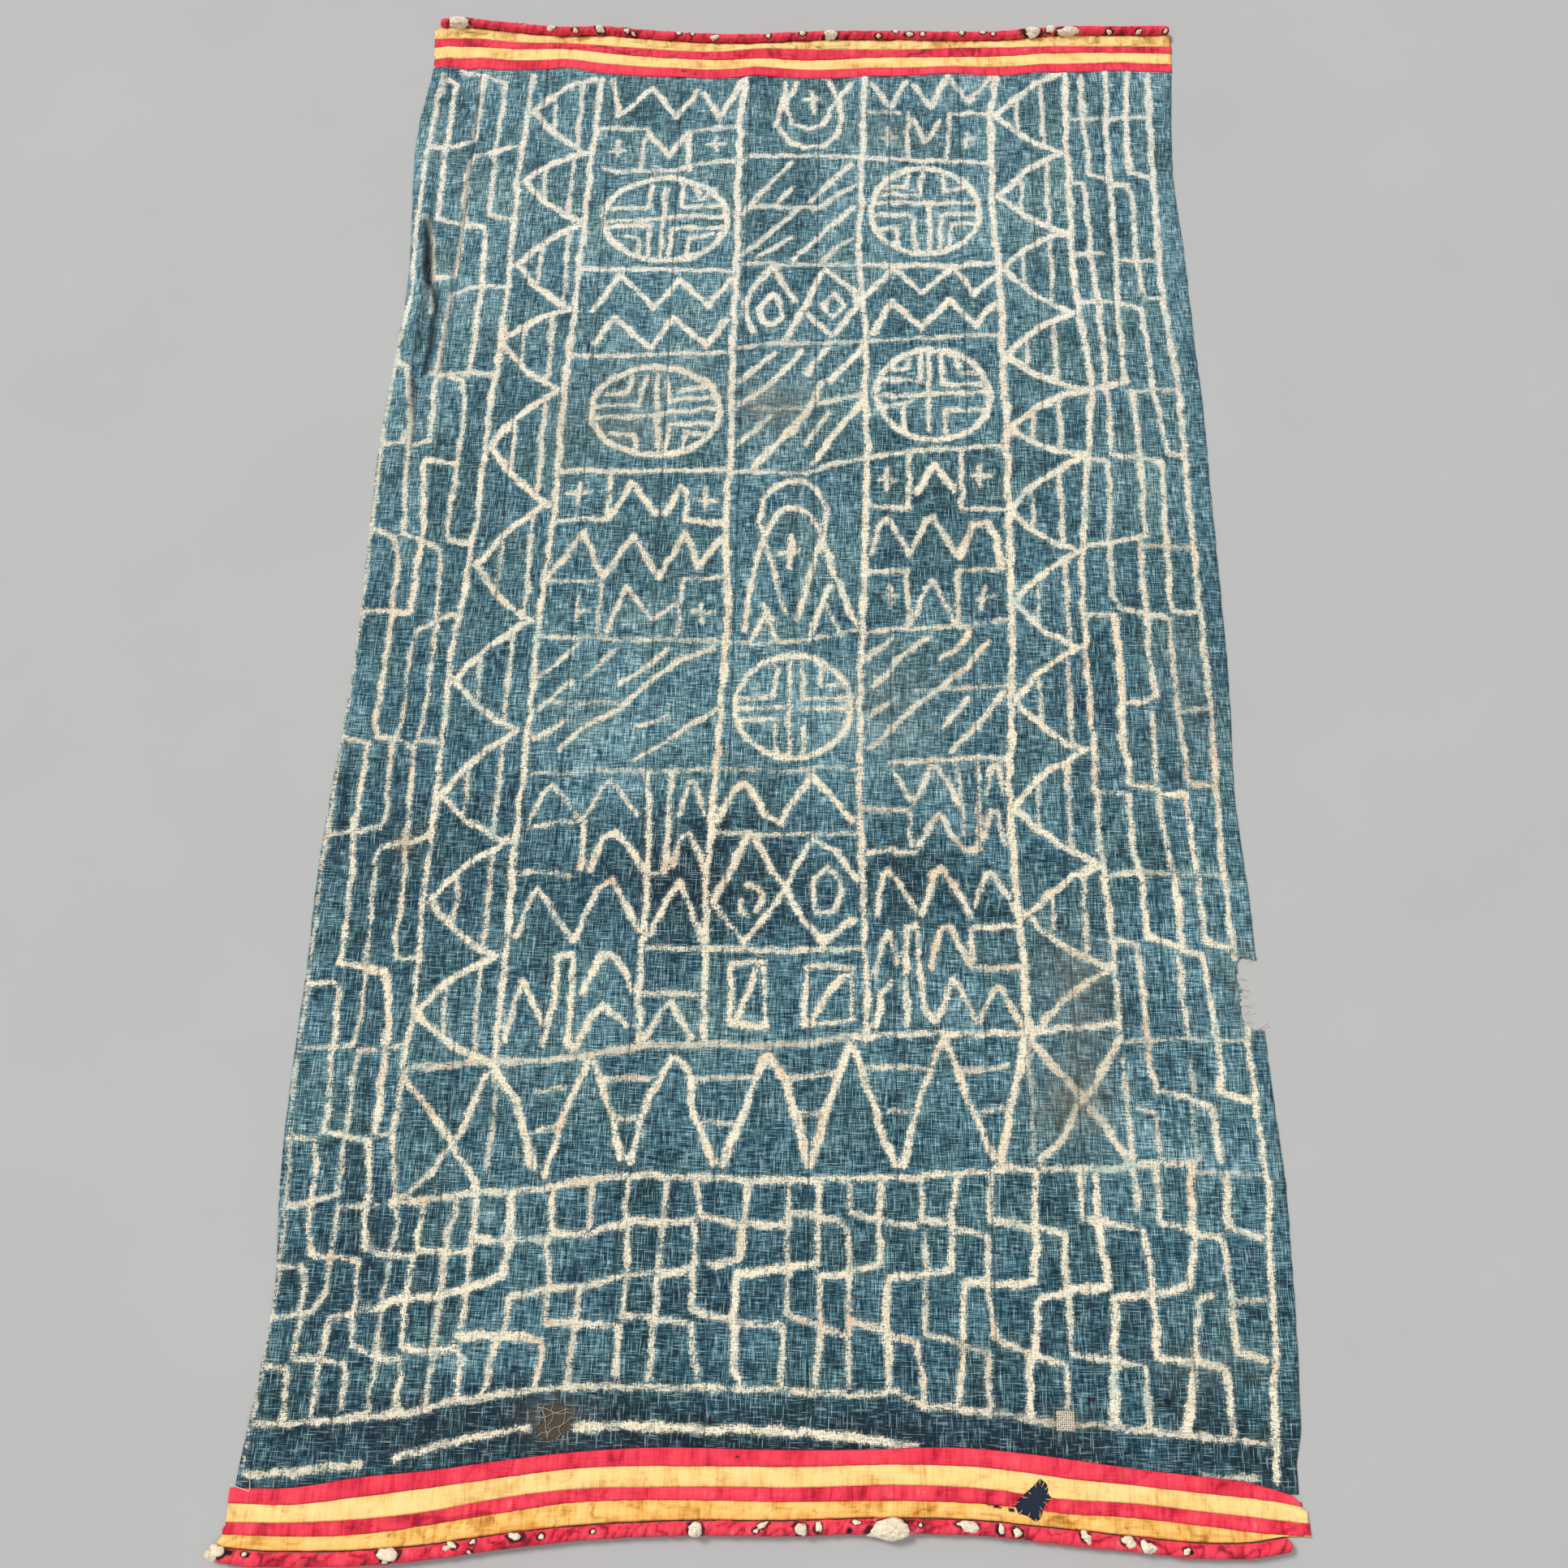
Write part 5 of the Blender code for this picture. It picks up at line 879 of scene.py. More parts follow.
class Shades:
    """A short way to write a material's node tree. Positions are the object's own coordinates in metres."""

    def __init__(self, name, rough, sheen=0.0):
        self.material = bpy.data.materials.new(name)
        self.material.use_nodes = True
        self.tree = self.material.node_tree
        self.shader = self.tree.nodes["Principled BSDF"]
        self.shader.inputs["Roughness"].default_value = rough
        self.shader.inputs["Specular IOR Level"].default_value = 0.25
        self.shader.inputs["Sheen Weight"].default_value = sheen
        self.shader.inputs["Sheen Roughness"].default_value = 0.6
        self.place = self.tree.nodes.new("ShaderNodeTexCoord").outputs["Object"]

    def _put(self, socket, value):
        if isinstance(value, bpy.types.NodeSocket):
            self.tree.links.new(value, socket)
        else:
            socket.default_value = value

    def math(self, kind, a, b=0.0, c=0.0, clamp=False):
        node = self.tree.nodes.new("ShaderNodeMath")
        node.operation, node.use_clamp = kind, clamp
        for socket, value in zip(node.inputs, (a, b, c)):
            self._put(socket, value)
        return node.outputs[0]

    def noise(self, scale, stretch=(1.0, 1.0, 1.0), detail=2.0, rough=0.5, shift=0.0):
        move = self.tree.nodes.new("ShaderNodeMapping")
        self.tree.links.new(self.place, move.inputs["Vector"])
        move.inputs["Scale"].default_value = stretch
        move.inputs["Location"].default_value = (shift, shift * 0.7, shift * 0.3)
        node = self.tree.nodes.new("ShaderNodeTexNoise")
        self.tree.links.new(move.outputs[0], node.inputs["Vector"])
        node.inputs["Scale"].default_value = scale
        node.inputs["Detail"].default_value = detail
        node.inputs["Roughness"].default_value = rough
        return node.outputs["Fac"]

    def value(self, name):
        node = self.tree.nodes.new("ShaderNodeAttribute")
        node.attribute_name = name
        return node.outputs["Fac"]

    def axis(self, which):
        node = self.tree.nodes.new("ShaderNodeSeparateXYZ")
        self.tree.links.new(self.place, node.inputs[0])
        return node.outputs[which]

    def ramp(self, fac, *stops):
        node = self.tree.nodes.new("ShaderNodeValToRGB")
        self._put(node.inputs[0], fac)
        marks = node.color_ramp.elements
        while len(marks) < len(stops):
            marks.new(0.5)
        for mark, (at, colour) in zip(marks, stops):
            mark.position = at
            mark.color = hue(colour) if isinstance(colour, str) else (colour, colour, colour, 1.0)
        return node.outputs[0]

    def mix(self, fac, a, b):
        node = self.tree.nodes.new("ShaderNodeMix")
        node.data_type = "RGBA"
        self._put(node.inputs["Factor"], fac)
        self._put(node.inputs[6], hue(a) if isinstance(a, str) else a)
        self._put(node.inputs[7], hue(b) if isinstance(b, str) else b)
        return node.outputs[2]

    def fade(self, value, low, high, out_low=0.0, out_high=1.0):
        node = self.tree.nodes.new("ShaderNodeMapRange")
        node.interpolation_type = "SMOOTHSTEP"
        self._put(node.inputs["Value"], value)
        for key, number in (("From Min", low), ("From Max", high), ("To Min", out_low), ("To Max", out_high)):
            node.inputs[key].default_value = number
        return node.outputs[0]

    def finish(self, colour, height, depth, strength=1.0):
        self.tree.links.new(colour, self.shader.inputs["Base Color"])
        bump = self.tree.nodes.new("ShaderNodeBump")
        bump.inputs["Strength"].default_value = strength
        bump.inputs["Distance"].default_value = depth
        self.tree.links.new(height, bump.inputs["Height"])
        self.tree.links.new(bump.outputs[0], self.shader.inputs["Normal"])
        return self.material


def hue(text):
    """A colour as red, green, blue and alpha in linear light, from its usual six digits."""
    parts = [int(text[i:i + 2], 16) / 255.0 for i in (1, 3, 5)]
    return tuple(p / 12.92 if p <= 0.04045 else ((p + 0.055) / 1.055) ** 2.4 for p in parts) + (1.0,)


def weave(s, seed, wide=600.0, long=34.0):
    """Height of uneven warp and weft threads, and the two sets of streaks."""
    warp = s.noise(1.0, (wide, long, 1.0), 2.0, 0.6, seed)
    weft = s.noise(1.0, (long, wide, 1.0), 2.0, 0.6, seed + 3.0)
    return s.math("ADD", warp, weft), warp, weft


def indigo_cloth():
    s = Shades("indigo_cloth", 0.94, 0.05)
    height, warp, weft = weave(s, 0.0)
    fine_up = s.noise(1.0, (760.0, 48.0, 1.0), 1.0, 0.5, 15.0)
    fine_over = s.noise(1.0, (48.0, 760.0, 1.0), 1.0, 0.5, 17.0)
    low, broad = s.noise(26.0, detail=5.0, rough=0.6), s.noise(5.0, detail=3.0, shift=4.0)
    tone = s.math("MULTIPLY_ADD", s.value("shade"), 0.33, 0.335)
    tone = s.math("ADD", tone, s.fade(s.axis(1), 0.2, 1.1, 0.0, 0.05))
    for part, gain in ((low, 0.50), (broad, 0.34), (warp, 1.8), (weft, 1.8), (fine_up, 1.0), (fine_over, 1.0)):
        tone = s.math("ADD", tone, s.math("MULTIPLY_ADD", part, gain, -0.5 * gain))
    # Painted light and shade: the cloth's raised wrinkles are lighter and its hollows darker, following the relief in
    # the fold values.
    tone = s.math("ADD", tone, s.math("MULTIPLY", s.value("fold"), 0.15))
    base = s.ramp(tone, (0.0, "#0d2733"), (0.26, "#2b5564"), (0.50, "#4f7c89"), (0.74, "#84abb2"), (1.0, "#d3e2df"))
    green = s.fade(s.noise(7.0, detail=3.0, shift=21.0), 0.45, 0.62, 0.0, 0.30)
    base = s.mix(green, base, s.ramp(tone, (0.0, "#0f2a2a"), (0.5, "#50776f"), (1.0, "#d5dccb")))
    base = s.mix(s.fade(s.value("shade"), -0.50, -1.15, 0.0, 0.75), base, s.ramp(tone, (0.0, "#0b1a26"), (0.5, "#2e4759"),
                                                                             (1.0, "#a4b2b4")))
    slub = s.math("MAXIMUM", s.fade(s.noise(1.0, (34.0, 560.0, 1.0), 1.0, 0.5, 7.0), 0.61, 0.70),
                  s.fade(s.noise(1.0, (560.0, 34.0, 1.0), 1.0, 0.5, 9.0), 0.61, 0.70))
    base = s.mix(s.math("MULTIPLY", slub, 0.50), base, "#a9c8ca")
    jag = s.math("MULTIPLY_ADD", s.noise(1.0, (130.0, 520.0, 1.0), 2.0, 0.6, 11.0), 1.25, -0.625)
    jag_up = s.math("MULTIPLY_ADD", s.noise(1.0, (520.0, 130.0, 1.0), 2.0, 0.6, 13.0), 1.25, -0.625)
    gap = s.math("ADD", s.value("resist"), s.math("ADD", jag, jag_up))
    worn = s.noise(34.0, detail=4.0, rough=0.7, shift=5.0)
    mask = s.math("MULTIPLY", s.fade(gap, 0.05, -0.10), s.value("clear"))
    mask = s.math("MULTIPLY", mask, s.fade(worn, 0.30, 0.47, 0.45, 1.0))
    halo = s.math("MULTIPLY", s.fade(gap, 0.45, 0.0), 0.18)
    tint = s.noise(9.0, detail=4.0, rough=0.6, shift=8.0)
    cream = s.ramp(tint, (0.30, "#cfdccb"), (0.40, "#fff2d6"), (0.57, "#ffefd0"), (0.70, "#f8d6b2"))
    cream = s.mix(s.fade(s.axis(1), 0.1, 0.9, 0.0, 0.55), cream, "#fbf6ea")
    nub = s.fade(s.noise(300.0, detail=2.0, rough=0.6, shift=6.0), 0.53, 0.66, 0.0, 0.80)
    cream = s.mix(nub, cream, "#97998a")
    cream = s.mix(s.fade(height, 0.98, 0.78, 0.0, 0.85), cream, "#87958f")
    colour = s.mix(s.math("MULTIPLY", halo, s.value("clear")), base, "#cfdad0")
    colour = s.mix(mask, colour, cream)
    colour = s.mix(s.math("MULTIPLY", s.value("stain"), 0.70, clamp=True), colour,
                   s.ramp(low, (0.3, "#4c4638"), (0.7, "#9c8c6c")))
    stitched = s.math("MULTIPLY", s.fade(s.value("seam"), 0.16, 0.03), s.fade(s.noise(45.0, shift=12.0), 0.42, 0.60, 0.10, 0.42))
    colour = s.mix(stitched, colour, "#23424f")
    # Painted shade in the deep creases and the fold's valley.
    colour = s.mix(s.math("MULTIPLY", s.value("crease_shade"), 0.95), colour, "#0c1c26")
    # Painted shade inside the small holes that are not cut.
    colour = s.mix(s.value("hole_shade"), colour, "#070b10")
    return s.finish(colour, height, 0.0010, 0.9)


def border_cloth(name, deep, stops):
    """Red or yellow border cloth: finer, painted lighter on its raised folds and darker in its hollows as painted light
    and shade, with patches of dirt.
    """
    s = Shades(name, 0.88, 0.04)
    height, warp, weft = weave(s, 1.0, 620.0, 40.0)
    low = s.noise(35.0, detail=5.0, rough=0.65)
    pull = s.noise(1.0, (260.0, 30.0, 1.0), 3.0, 0.6, 6.0)
    # Painted light and shade: raised folds lighter, hollows darker.
    tone = s.math("MULTIPLY_ADD", s.value("fold"), 0.30, 0.52)
    for part, gain in ((low, 0.44), (pull, 0.50), (warp, 0.40), (weft, 0.40)):
        tone = s.math("ADD", tone, s.math("MULTIPLY_ADD", part, gain, -0.5 * gain))
    tone = s.math("ADD", tone, s.math("MULTIPLY", s.value("shade"), 0.20))
    colour = s.ramp(tone, *stops)
    dirt = s.math("MULTIPLY", s.fade(s.noise(60.0, detail=3.0, shift=3.0), 0.60, 0.78), 0.25)
    colour = s.mix(dirt, colour, "#9a6a4c")
    seam = s.fade(s.value("seam"), 0.12, 0.02, 0.0, 0.16)
    colour = s.mix(seam, colour, "#7a2c30")
    # Painted shade along the outer bands' creases, the rolls' pleat creases and the far outer yellow's edge under the
    # roll; round the rolls' tears, a darker rim of torn cloth.
    colour = s.mix(s.value("tear_and_shade"), colour, deep)
    # Painted shade inside the slits and the rolls' holes, and under the rolls' wads.
    colour = s.mix(s.value("hole_shade"), colour, "#0b0d12")
    return s.finish(colour, height, 0.0004, 0.6)


def wadding():
    s = Shades("raw_cotton", 1.0, 0.3)
    lump, fibre = s.noise(240.0, detail=5.0, rough=0.7), s.noise(900.0, detail=3.0, rough=0.6)
    # Painted shade: the colour follows the same noise as the bumps, so the cotton's hollows come out darker.
    colour = s.ramp(s.math("MULTIPLY_ADD", fibre, 0.5, s.math("MULTIPLY", lump, 0.5)),
                    (0.36, "#9c7450"), (0.43, "#f2dcb4"), (0.54, "#fff5de"))
    return s.finish(colour, s.math("ADD", lump, fibre), 0.0014, 0.9)


def plain_thread(name, dark, pale):
    s = Shades(name, 0.9, 0.1)
    fibre = s.noise(1500.0, detail=2.0)
    return s.finish(s.ramp(fibre, (0.35, dark), (0.65, pale)), fibre, 0.0002, 0.4)


def held(piece, slot, *nodes):
    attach(piece, "root")
    if nodes:
        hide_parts(*nodes)
    return piece


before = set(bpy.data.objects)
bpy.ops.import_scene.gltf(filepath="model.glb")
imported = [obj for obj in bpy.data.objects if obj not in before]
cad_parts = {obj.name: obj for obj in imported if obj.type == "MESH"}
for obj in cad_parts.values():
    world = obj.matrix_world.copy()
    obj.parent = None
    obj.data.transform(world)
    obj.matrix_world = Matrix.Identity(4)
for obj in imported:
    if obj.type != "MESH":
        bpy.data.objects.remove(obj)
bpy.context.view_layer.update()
heights = Heights(STRIPS + NEAR_BANDS + FAR_BANDS)
STROKES = (*LEFT_BAND, *FRAME_LINES, *LEFT_CELLS, *CENTRE_CELLS, *RIGHT_CELLS, *RIGHT_BAND, *LOW_FIELD, *BIG_FIGURES,
           *teeth(LEFT_TEETH), *teeth(RIGHT_TEETH), *discs())

BLUE = indigo_cloth()
RED = border_cloth("red_cloth", "#560d1a", ((0.0, "#7a0d22"), (0.25, "#c41c38"), (0.5, "#ee3a50"), (0.8, "#f6505f"), (1.0, "#ff8f8c")))
YELLOW = border_cloth("yellow_cloth", "#6b5226", ((0.0, "#9c6c34"), (0.25, "#e2a95c"), (0.5, "#fdd689"), (0.8, "#ffe19a"), (1.0, "#fff0c4")))
ORANGE = border_cloth("deep_yellow_cloth", "#5e3f18", ((0.0, "#855222"), (0.25, "#d2923f"), (0.5, "#f6c168"), (0.8, "#fdd386"),
                                            (1.0, "#ffe6ac")))
COTTON = wadding()
STITCH = plain_thread("indigo_thread", "#2c4c5a", "#6d939c")
PALE = plain_thread("pale_thread", "#c9bca0", "#fff4dc")
SCRAP = plain_thread("rotted_cloth", "#1d1712", "#6b5b46")
GREY = plain_thread("grey_thread", "#6f7470", "#c9ccc2")

# Woven strips
whole = Reach(*STRIPS)
low_y, high_y = whole.span(ALONG)
columns = np.arange(NEAR_REACH[0], NEAR_REACH[1], 0.5)
near_end = filled(columns, np.min([whole.at(ACROSS, columns + d, ALONG)[0] for d in (-0.2, 0.03, 0.2)], axis=0))
columns = np.arange(FAR_REACH[0], FAR_REACH[1], 0.5)
far_end = filled(columns, np.max([whole.at(ACROSS, columns + d, ALONG)[1] for d in (-0.2, 0.03, 0.2)], axis=0))
levels = np.arange(math.floor(low_y) + 1.0, math.ceil(high_y), 1.0)
edges = []
for name in STRIPS:
    left, right = Reach(name).at(ALONG, levels, ACROSS)
    own = (levels > near_end(np.nan_to_num(left)) + 1.0) & (levels < far_end(np.nan_to_num(right)) - 1.0)
    left[~own], right[~own] = np.nan, np.nan
    tear_and_shade = TORN_STRETCH if name == STRIPS[-1] else None
    edges.append([filled(levels, left), filled(levels, right, tear_and_shade)])
seams = [lambda y, a=a, b=b: 0.5 * (a[1](y) + b[0](y)) for a, b in zip(edges, edges[1:])]

for number, name in enumerate(STRIPS):
    first, last = number == 0, number == len(STRIPS) - 1
    left = edges[number][0] if first else seams[number - 1]
    right = edges[number][1] if last else seams[number]
    wide = float(np.mean(right(levels) - left(levels)))
    cols = int(round(wide / STRIP_STEP)) + 1
    rows = 4 * int(round(250.0 / (STRIP_STEP * 1.08) / 4)) + 1
    u, v = np.meshgrid(np.linspace(0.0, 1.0, cols), np.linspace(0.0, 1.0, rows))
    y = 10.0 + 250.0 * v
    for _ in range(4):
        x = left(y) + u * (right(y) - left(y))
        y = near_end(x) + v * (far_end(x) - near_end(x))
    side = np.minimum(np.where(first, 9.0, u * wide), np.where(last, 9.0, (1.0 - u) * wide))
    if first or last:
        turn = 1.0 if last else -1.0
        x = x + turn * 0.10 * lattice(x * 0.0, y, 1.0, 1.7, 50 + number) * step(1.2, 0.0, (1.0 - u if last else u) * wide)
    bumps = relief(x, y)
    pucker = 0.05 * lattice(x, y, 1.4, 1.1, 61) * np.exp(-((side / 0.9) ** 2))
    pucker -= 0.03 * np.exp(-((side / 0.22) ** 2))
    end = np.minimum(y - near_end(x), far_end(x) - y)
    pucker -= 0.05 * np.exp(-((end / 0.3) ** 2))
    z = np.maximum(heights(x, y) + bumps + pucker, LOWEST_TOP)
    gap, clear = resist(x, y)
    hole_shade = np.zeros(x.shape)
    for hx, hy, rx, ry in PIN_HOLES:
        hole_shade = np.maximum(hole_shade, step(1.15, 0.75, np.hypot((x - hx) / rx, (y - hy) / ry)))
    tone = patches(x, y, SHADES) + 0.22 * lattice(x * 0.0 + number * 3.1, y, 1.0, 60.0, 70) \
        + 0.18 * lattice(x, y, 9.0, 11.0, 71)
    # The fold values give painted light and shade from the relief; the crease values give painted shade in the deep
    # creases; the hole values give painted shade inside the small holes.
    piece = grid_piece(f"cloth_{name}", x, y, z, {
        "resist": gap, "clear": clear, "shade": tone, "stain": patches(x, y, STAINS), "seam": side, "hole_shade": hole_shade,
        "crease_shade": lines(x, y, CREASE_SHADE_LINES), "fold": np.clip((bumps + pucker) * 6.0, -1.0, 1.0)}, 4, BLUE, STRIP_THICKNESS)
    if last:
        cut_hole(piece, EDGE_TEAR, 0.25)
    for outline in (ROTTED_HOLE, DARNED_HOLE):
        middle = np.mean(outline, 0)
        if left(middle[1]) < middle[0] < right(middle[1]):
            cut_hole(piece, outline, 0.12)
    held(piece, "indigo_cotton", name)

# Border bands
for band, name in enumerate(NEAR_BANDS + FAR_BANDS):
    reach = Reach(name)
    start, stop = reach.span(ACROSS)
    stations = np.arange(start + 0.15, stop - 0.1, 0.5)
    low, high = reach.at(ACROSS, stations, ALONG)
    skip = (32.5, 39.5) if name.startswith("near_outer") else None
    low, high = filled(stations, low, skip), filled(stations, high, skip)
    middle = 0.5 * (low(stations) + high(stations))
    is_red = name.endswith("red")
    wide = float(np.mean(high(stations) - low(stations)))
    cols = 8 * int(round((stop - start) / BORDER_STEP / 8)) + 1
    rows = max(8, int(round(wide / 0.25))) + 1
    u, v = np.meshgrid(np.linspace(0.0, 1.0, cols), np.linspace(0.0, 1.0, rows))
    x = start + 0.05 + u * (stop - start - 0.1)
    y = low(x) - 0.03 + v * (high(x) - low(x) + 0.06)
    side = np.minimum(v, 1.0 - v) * wide
    crown = np.sin(np.pi * np.clip(v, 0.0, 1.0))
    if is_red:
        bumps = 0.060 * lattice(x, y, 0.55, 3.5, 80 + band) + 0.07 * lattice(x, y, 2.3, 3.0, 90 + band)
        bumps -= 0.10 * ridges(x, y, 3.2, 6.0, 190 + band, 9.0)
    else:
        bumps = 0.045 * lattice(x, y, 0.8, 2.5, 80 + band) + 0.065 * lattice(x, y, 2.4, 1.6, 90 + band)
        bumps -= 0.08 * ridges(x + 0.7 * y, y, 3.6, 3.0, 190 + band, 8.0)
    if "outer" in name:
        lean = 0.9 if name.startswith("far") else -0.6
        bumps *= 1.5
        bumps -= (0.16 if name == "far_outer_yellow" else 0.07) * ridges(x + lean * y, y, 2.6, 1.5, 170 + band, 8.0)
    bumps = bumps * (0.40 + 0.60 * crown) + 0.04 * crown - 0.015 * np.exp(-((side / 0.20) ** 2))
    tear_and_shade = np.zeros(x.shape)
    # The thin dark lines along the outer bands' creases are painted shade.
    if "outer" in name:
        place = 0.6 + 0.7 * lattice(x, y, 9.0, 20.0, 180 + band)
        tear_and_shade = np.clip(place, 0.0, 1.0) * ridges(x + 1.2 * lean * y, y, 4.2, 1.7, 210 + band, 13.0) * (0.9 if name[0] == "f" else 0.45)
        bumps = bumps - 0.08 * tear_and_shade
    # A painted shadow along the far outer yellow's edge, where it runs under the roll.
    if name == "far_outer_yellow":
        tear_and_shade = np.maximum(tear_and_shade, np.clip(0.5 + lattice(x, y * 0.0, 7.0, 1.0, 185), 0.0, 1.0) * np.exp(-(((high(x) - y) / 0.28) ** 2)))
    if name == "near_outer_yellow":
        hem = np.abs(y - low(x) - 0.62)
        bumps -= 0.03 * np.exp(-((hem / 0.15) ** 2))
        side = np.minimum(side, hem + 0.06)
    lowest = LOWEST_TOP if name.startswith("far") else LOWEST_TOP + 0.10
    z = np.maximum(heights(x, y) + bumps, lowest)
    hole_shade = np.zeros(x.shape)
    if name == "near_outer_yellow":
        for slit in HEM_SLITS:
            hole_shade = np.maximum(hole_shade, inside(x, y, slit))
    for sx, sy, long, wide_slit in BORDER_SLITS:
        hole_shade = np.maximum(hole_shade, step(1.2, 0.8, np.hypot((x - sx) / long, (y - sy) / wide_slit)))
    deep = name.endswith("outer_yellow") and name.startswith("near")
    cloth = RED if is_red else (ORANGE if deep else YELLOW)
    # The fold values give painted light and shade on the bands' wrinkles; the hole values give painted shade inside the
    # slits.
    piece = grid_piece(f"cloth_{name}", x, y, z, {
        "fold": np.clip(bumps * 7.0 - 0.2, -1.0, 1.0), "shade": 0.5 * lattice(x, y, 6.0, 2.0, 100 + band),
        "seam": side, "tear_and_shade": tear_and_shade, "hole_shade": hole_shade}, 8, cloth, BORDER_THICKNESS)
    if name.startswith("near"):
        cut_hole(piece, BORDER_HOLE, 0.10)
    held(piece, "red_cotton" if is_red else "yellow_cotton", name)

# The navy facing that lines the near border
reach = Reach("near_facing")
start, stop = reach.span(ACROSS)
stations = np.arange(start + 0.15, stop - 0.1, 0.5)
low, high = reach.at(ACROSS, stations, ALONG)
low, high = filled(stations, low), filled(stations, high)
u, v = np.meshgrid(np.linspace(0.0, 1.0, 257), np.linspace(0.0, 1.0, 13))
x = start + 1.3 + u * (stop - start - 2.0)
y = low(x) + v * (high(x) - low(x))
z = 0.085 + 0.012 * lattice(x, y, 0.9, 0.9, 110)
FACING = plain_thread("navy_cloth", "#101826", "#22324a")
piece = grid_piece("facing_cloth", x, y, z, {"fold": 0.0}, 8, FACING, 0.06)
held(piece, "navy_cotton", "near_facing")

# Padded rolls along the two ends, torn where the cotton shows
for band, name in enumerate(("near_roll", "far_roll")):
    reach = Reach(name)
    start, stop = reach.span(ACROSS)
    stations = np.arange(start + 0.2, stop - 0.15, 0.5)
    low, high = (filled(stations, e) for e in reach.at(ACROSS, stations, ALONG))
    floor_z, top_z = (filled(stations, e) for e in reach.at(ACROSS, stations, UP))
    rings, around = 801, 26
    u, turn = np.meshgrid(np.linspace(0.0, 1.0, rings), np.arange(around) * 2.0 * math.pi / around, indexing="ij")
    x = start + u * (stop - start)
    near_tip = np.minimum(u, 1.0 - u) * (stop - start)
    taper = np.sqrt(np.clip(1.0 - (1.0 - np.clip(near_tip / 0.7, 0.0, 1.0)) ** 2, 0.02, 1.0))
    cx = 0.5 * (low(x) + high(x))
    slope = np.gradient(cx, axis=0) / np.gradient(x, axis=0)
    half = 0.5 * (high(x) - low(x)) / np.sqrt(1.0 + slope ** 2)
    up = 0.5 * (top_z(x) - floor_z(x))
    pleat = 0.05 * lattice(x + 0.35 * turn, turn * 1.2, 1.1, 1.3, 120 + band) \
        + 0.03 * lattice(x, turn, 0.5, 0.9, 122 + band) + 0.03 * lattice(x, turn * 0.0, 2.6, 1.0, 124 + band)
    pleat -= 0.09 * ridges(x + 0.5 * turn, turn * 0.5, 1.3, 1.4, 128 + band, 3.0)
    # Thin dark lines along the pleats' creases, painted shade.
    creased = 0.65 * ridges(x + 0.5 * turn, turn * 0.5, 1.3, 1.4, 128 + band, 9.0) \
        + 0.35 * ridges(x + 0.2 * turn, turn * 0.5, 0.7, 1.0, 129 + band, 5.0)
    tear_and_shade, inner, islands, count = np.zeros(x.shape), np.zeros(x.shape), [], 0
    for number, (tx, ty, long, wide, lean) in enumerate(NEAR_TEARS if band == 0 else FAR_TEARS):
        side_y = np.clip((ty - 0.5 * (low(tx) + high(tx))) / (0.5 * (high(tx) - low(tx))), -0.8, 0.8)
        place = math.acos(side_y)
        c, s = math.cos(math.radians(lean)), math.sin(math.radians(lean))
        dx, dt = x - tx, (turn - place) * half
        off = np.hypot((dx * c + dt * s) / (0.5 * long + 0.1), (dt * c - dx * s) / (0.5 * wide + 0.1))
        off = off + 0.30 * lattice(x, turn, 0.4, 0.5, 130 + band)
        # torn marks the darker rim of each tear; inner marks the cloth under the wad, later painted darker as its
        # shade.
        tear_and_shade, inner = np.maximum(tear_and_shade, step(1.55, 1.10, off)), np.maximum(inner, step(1.20, 0.95, off))
        pleat += 0.07 * np.exp(-(((off - 1.45) / 0.28) ** 2)) - 0.10 * step(1.3, 0.8, off)
        lump = bmesh.new()
        bmesh.ops.create_icosphere(lump, subdivisions=2, radius=1.0)
        radius = 0.5 * float(high(tx) - low(tx))
        middle = np.array((tx, 0.5 * float(low(tx) + high(tx)), float(floor_z(tx)) + float(up[0, 0] * 0.0 + 0.5 * (top_z(tx) - floor_z(tx)))))
        outward = np.array((0.0, math.cos(place), math.sin(place)))
        beside = np.array((0.0, math.sin(place), -math.cos(place)))
        ahead = np.array((1.0, 0.0, 0.0))
        for vert in lump.verts:
            p = np.array(vert.co)
            p = p * (0.95 + 0.48 * float(lattice(p[0] * 1.3 + number, p[1] * 1.3 + p[2], 0.7, 0.7, 150))
                     + 0.22 * float(lattice(p[0] + p[2], p[1] + number, 0.22, 0.22, 151)))
            flat = (p[0] * c * 0.5 * long - p[1] * s * 0.5 * wide, p[0] * s * 0.5 * long + p[1] * c * 0.5 * wide)
            spot = middle + ahead * flat[0] - beside * flat[1] + outward * (0.90 * radius + p[2] * (0.13 + 0.09 * min(long, wide)))
            islands.append(((spot[0] - MIDDLE_ACROSS) * CM, (spot[1] - MIDDLE_ALONG) * CM, max(spot[2], 0.05) * CM))
        wads = faces_of.setdefault(name, [])
        wads.extend(tuple(count + v.index for v in f.verts) for f in lump.faces)
        count += len(lump.verts)
        lump.free()
    # The black holes are painted near-black as the shade inside them.
    black = np.zeros(x.shape)
    for hx, hy, reach_out in ROLL_HOLES if band == 0 else ():
        place = math.acos(np.clip((hy - 0.5 * (low(hx) + high(hx))) / (0.5 * (high(hx) - low(hx))), -0.8, 0.8))
        off = np.hypot(x - hx, (turn - place) * half) / reach_out + 0.3 * lattice(x, turn, 0.4, 0.5, 131)
        black = np.maximum(black, step(1.2, 0.7, off))
    size = (0.97 + pleat - 0.12 * black) * taper
    y = cx + half * size * np.cos(turn)
    z = floor_z(x) + up + up * size * np.sin(turn)
    z = np.maximum(z, 0.0)
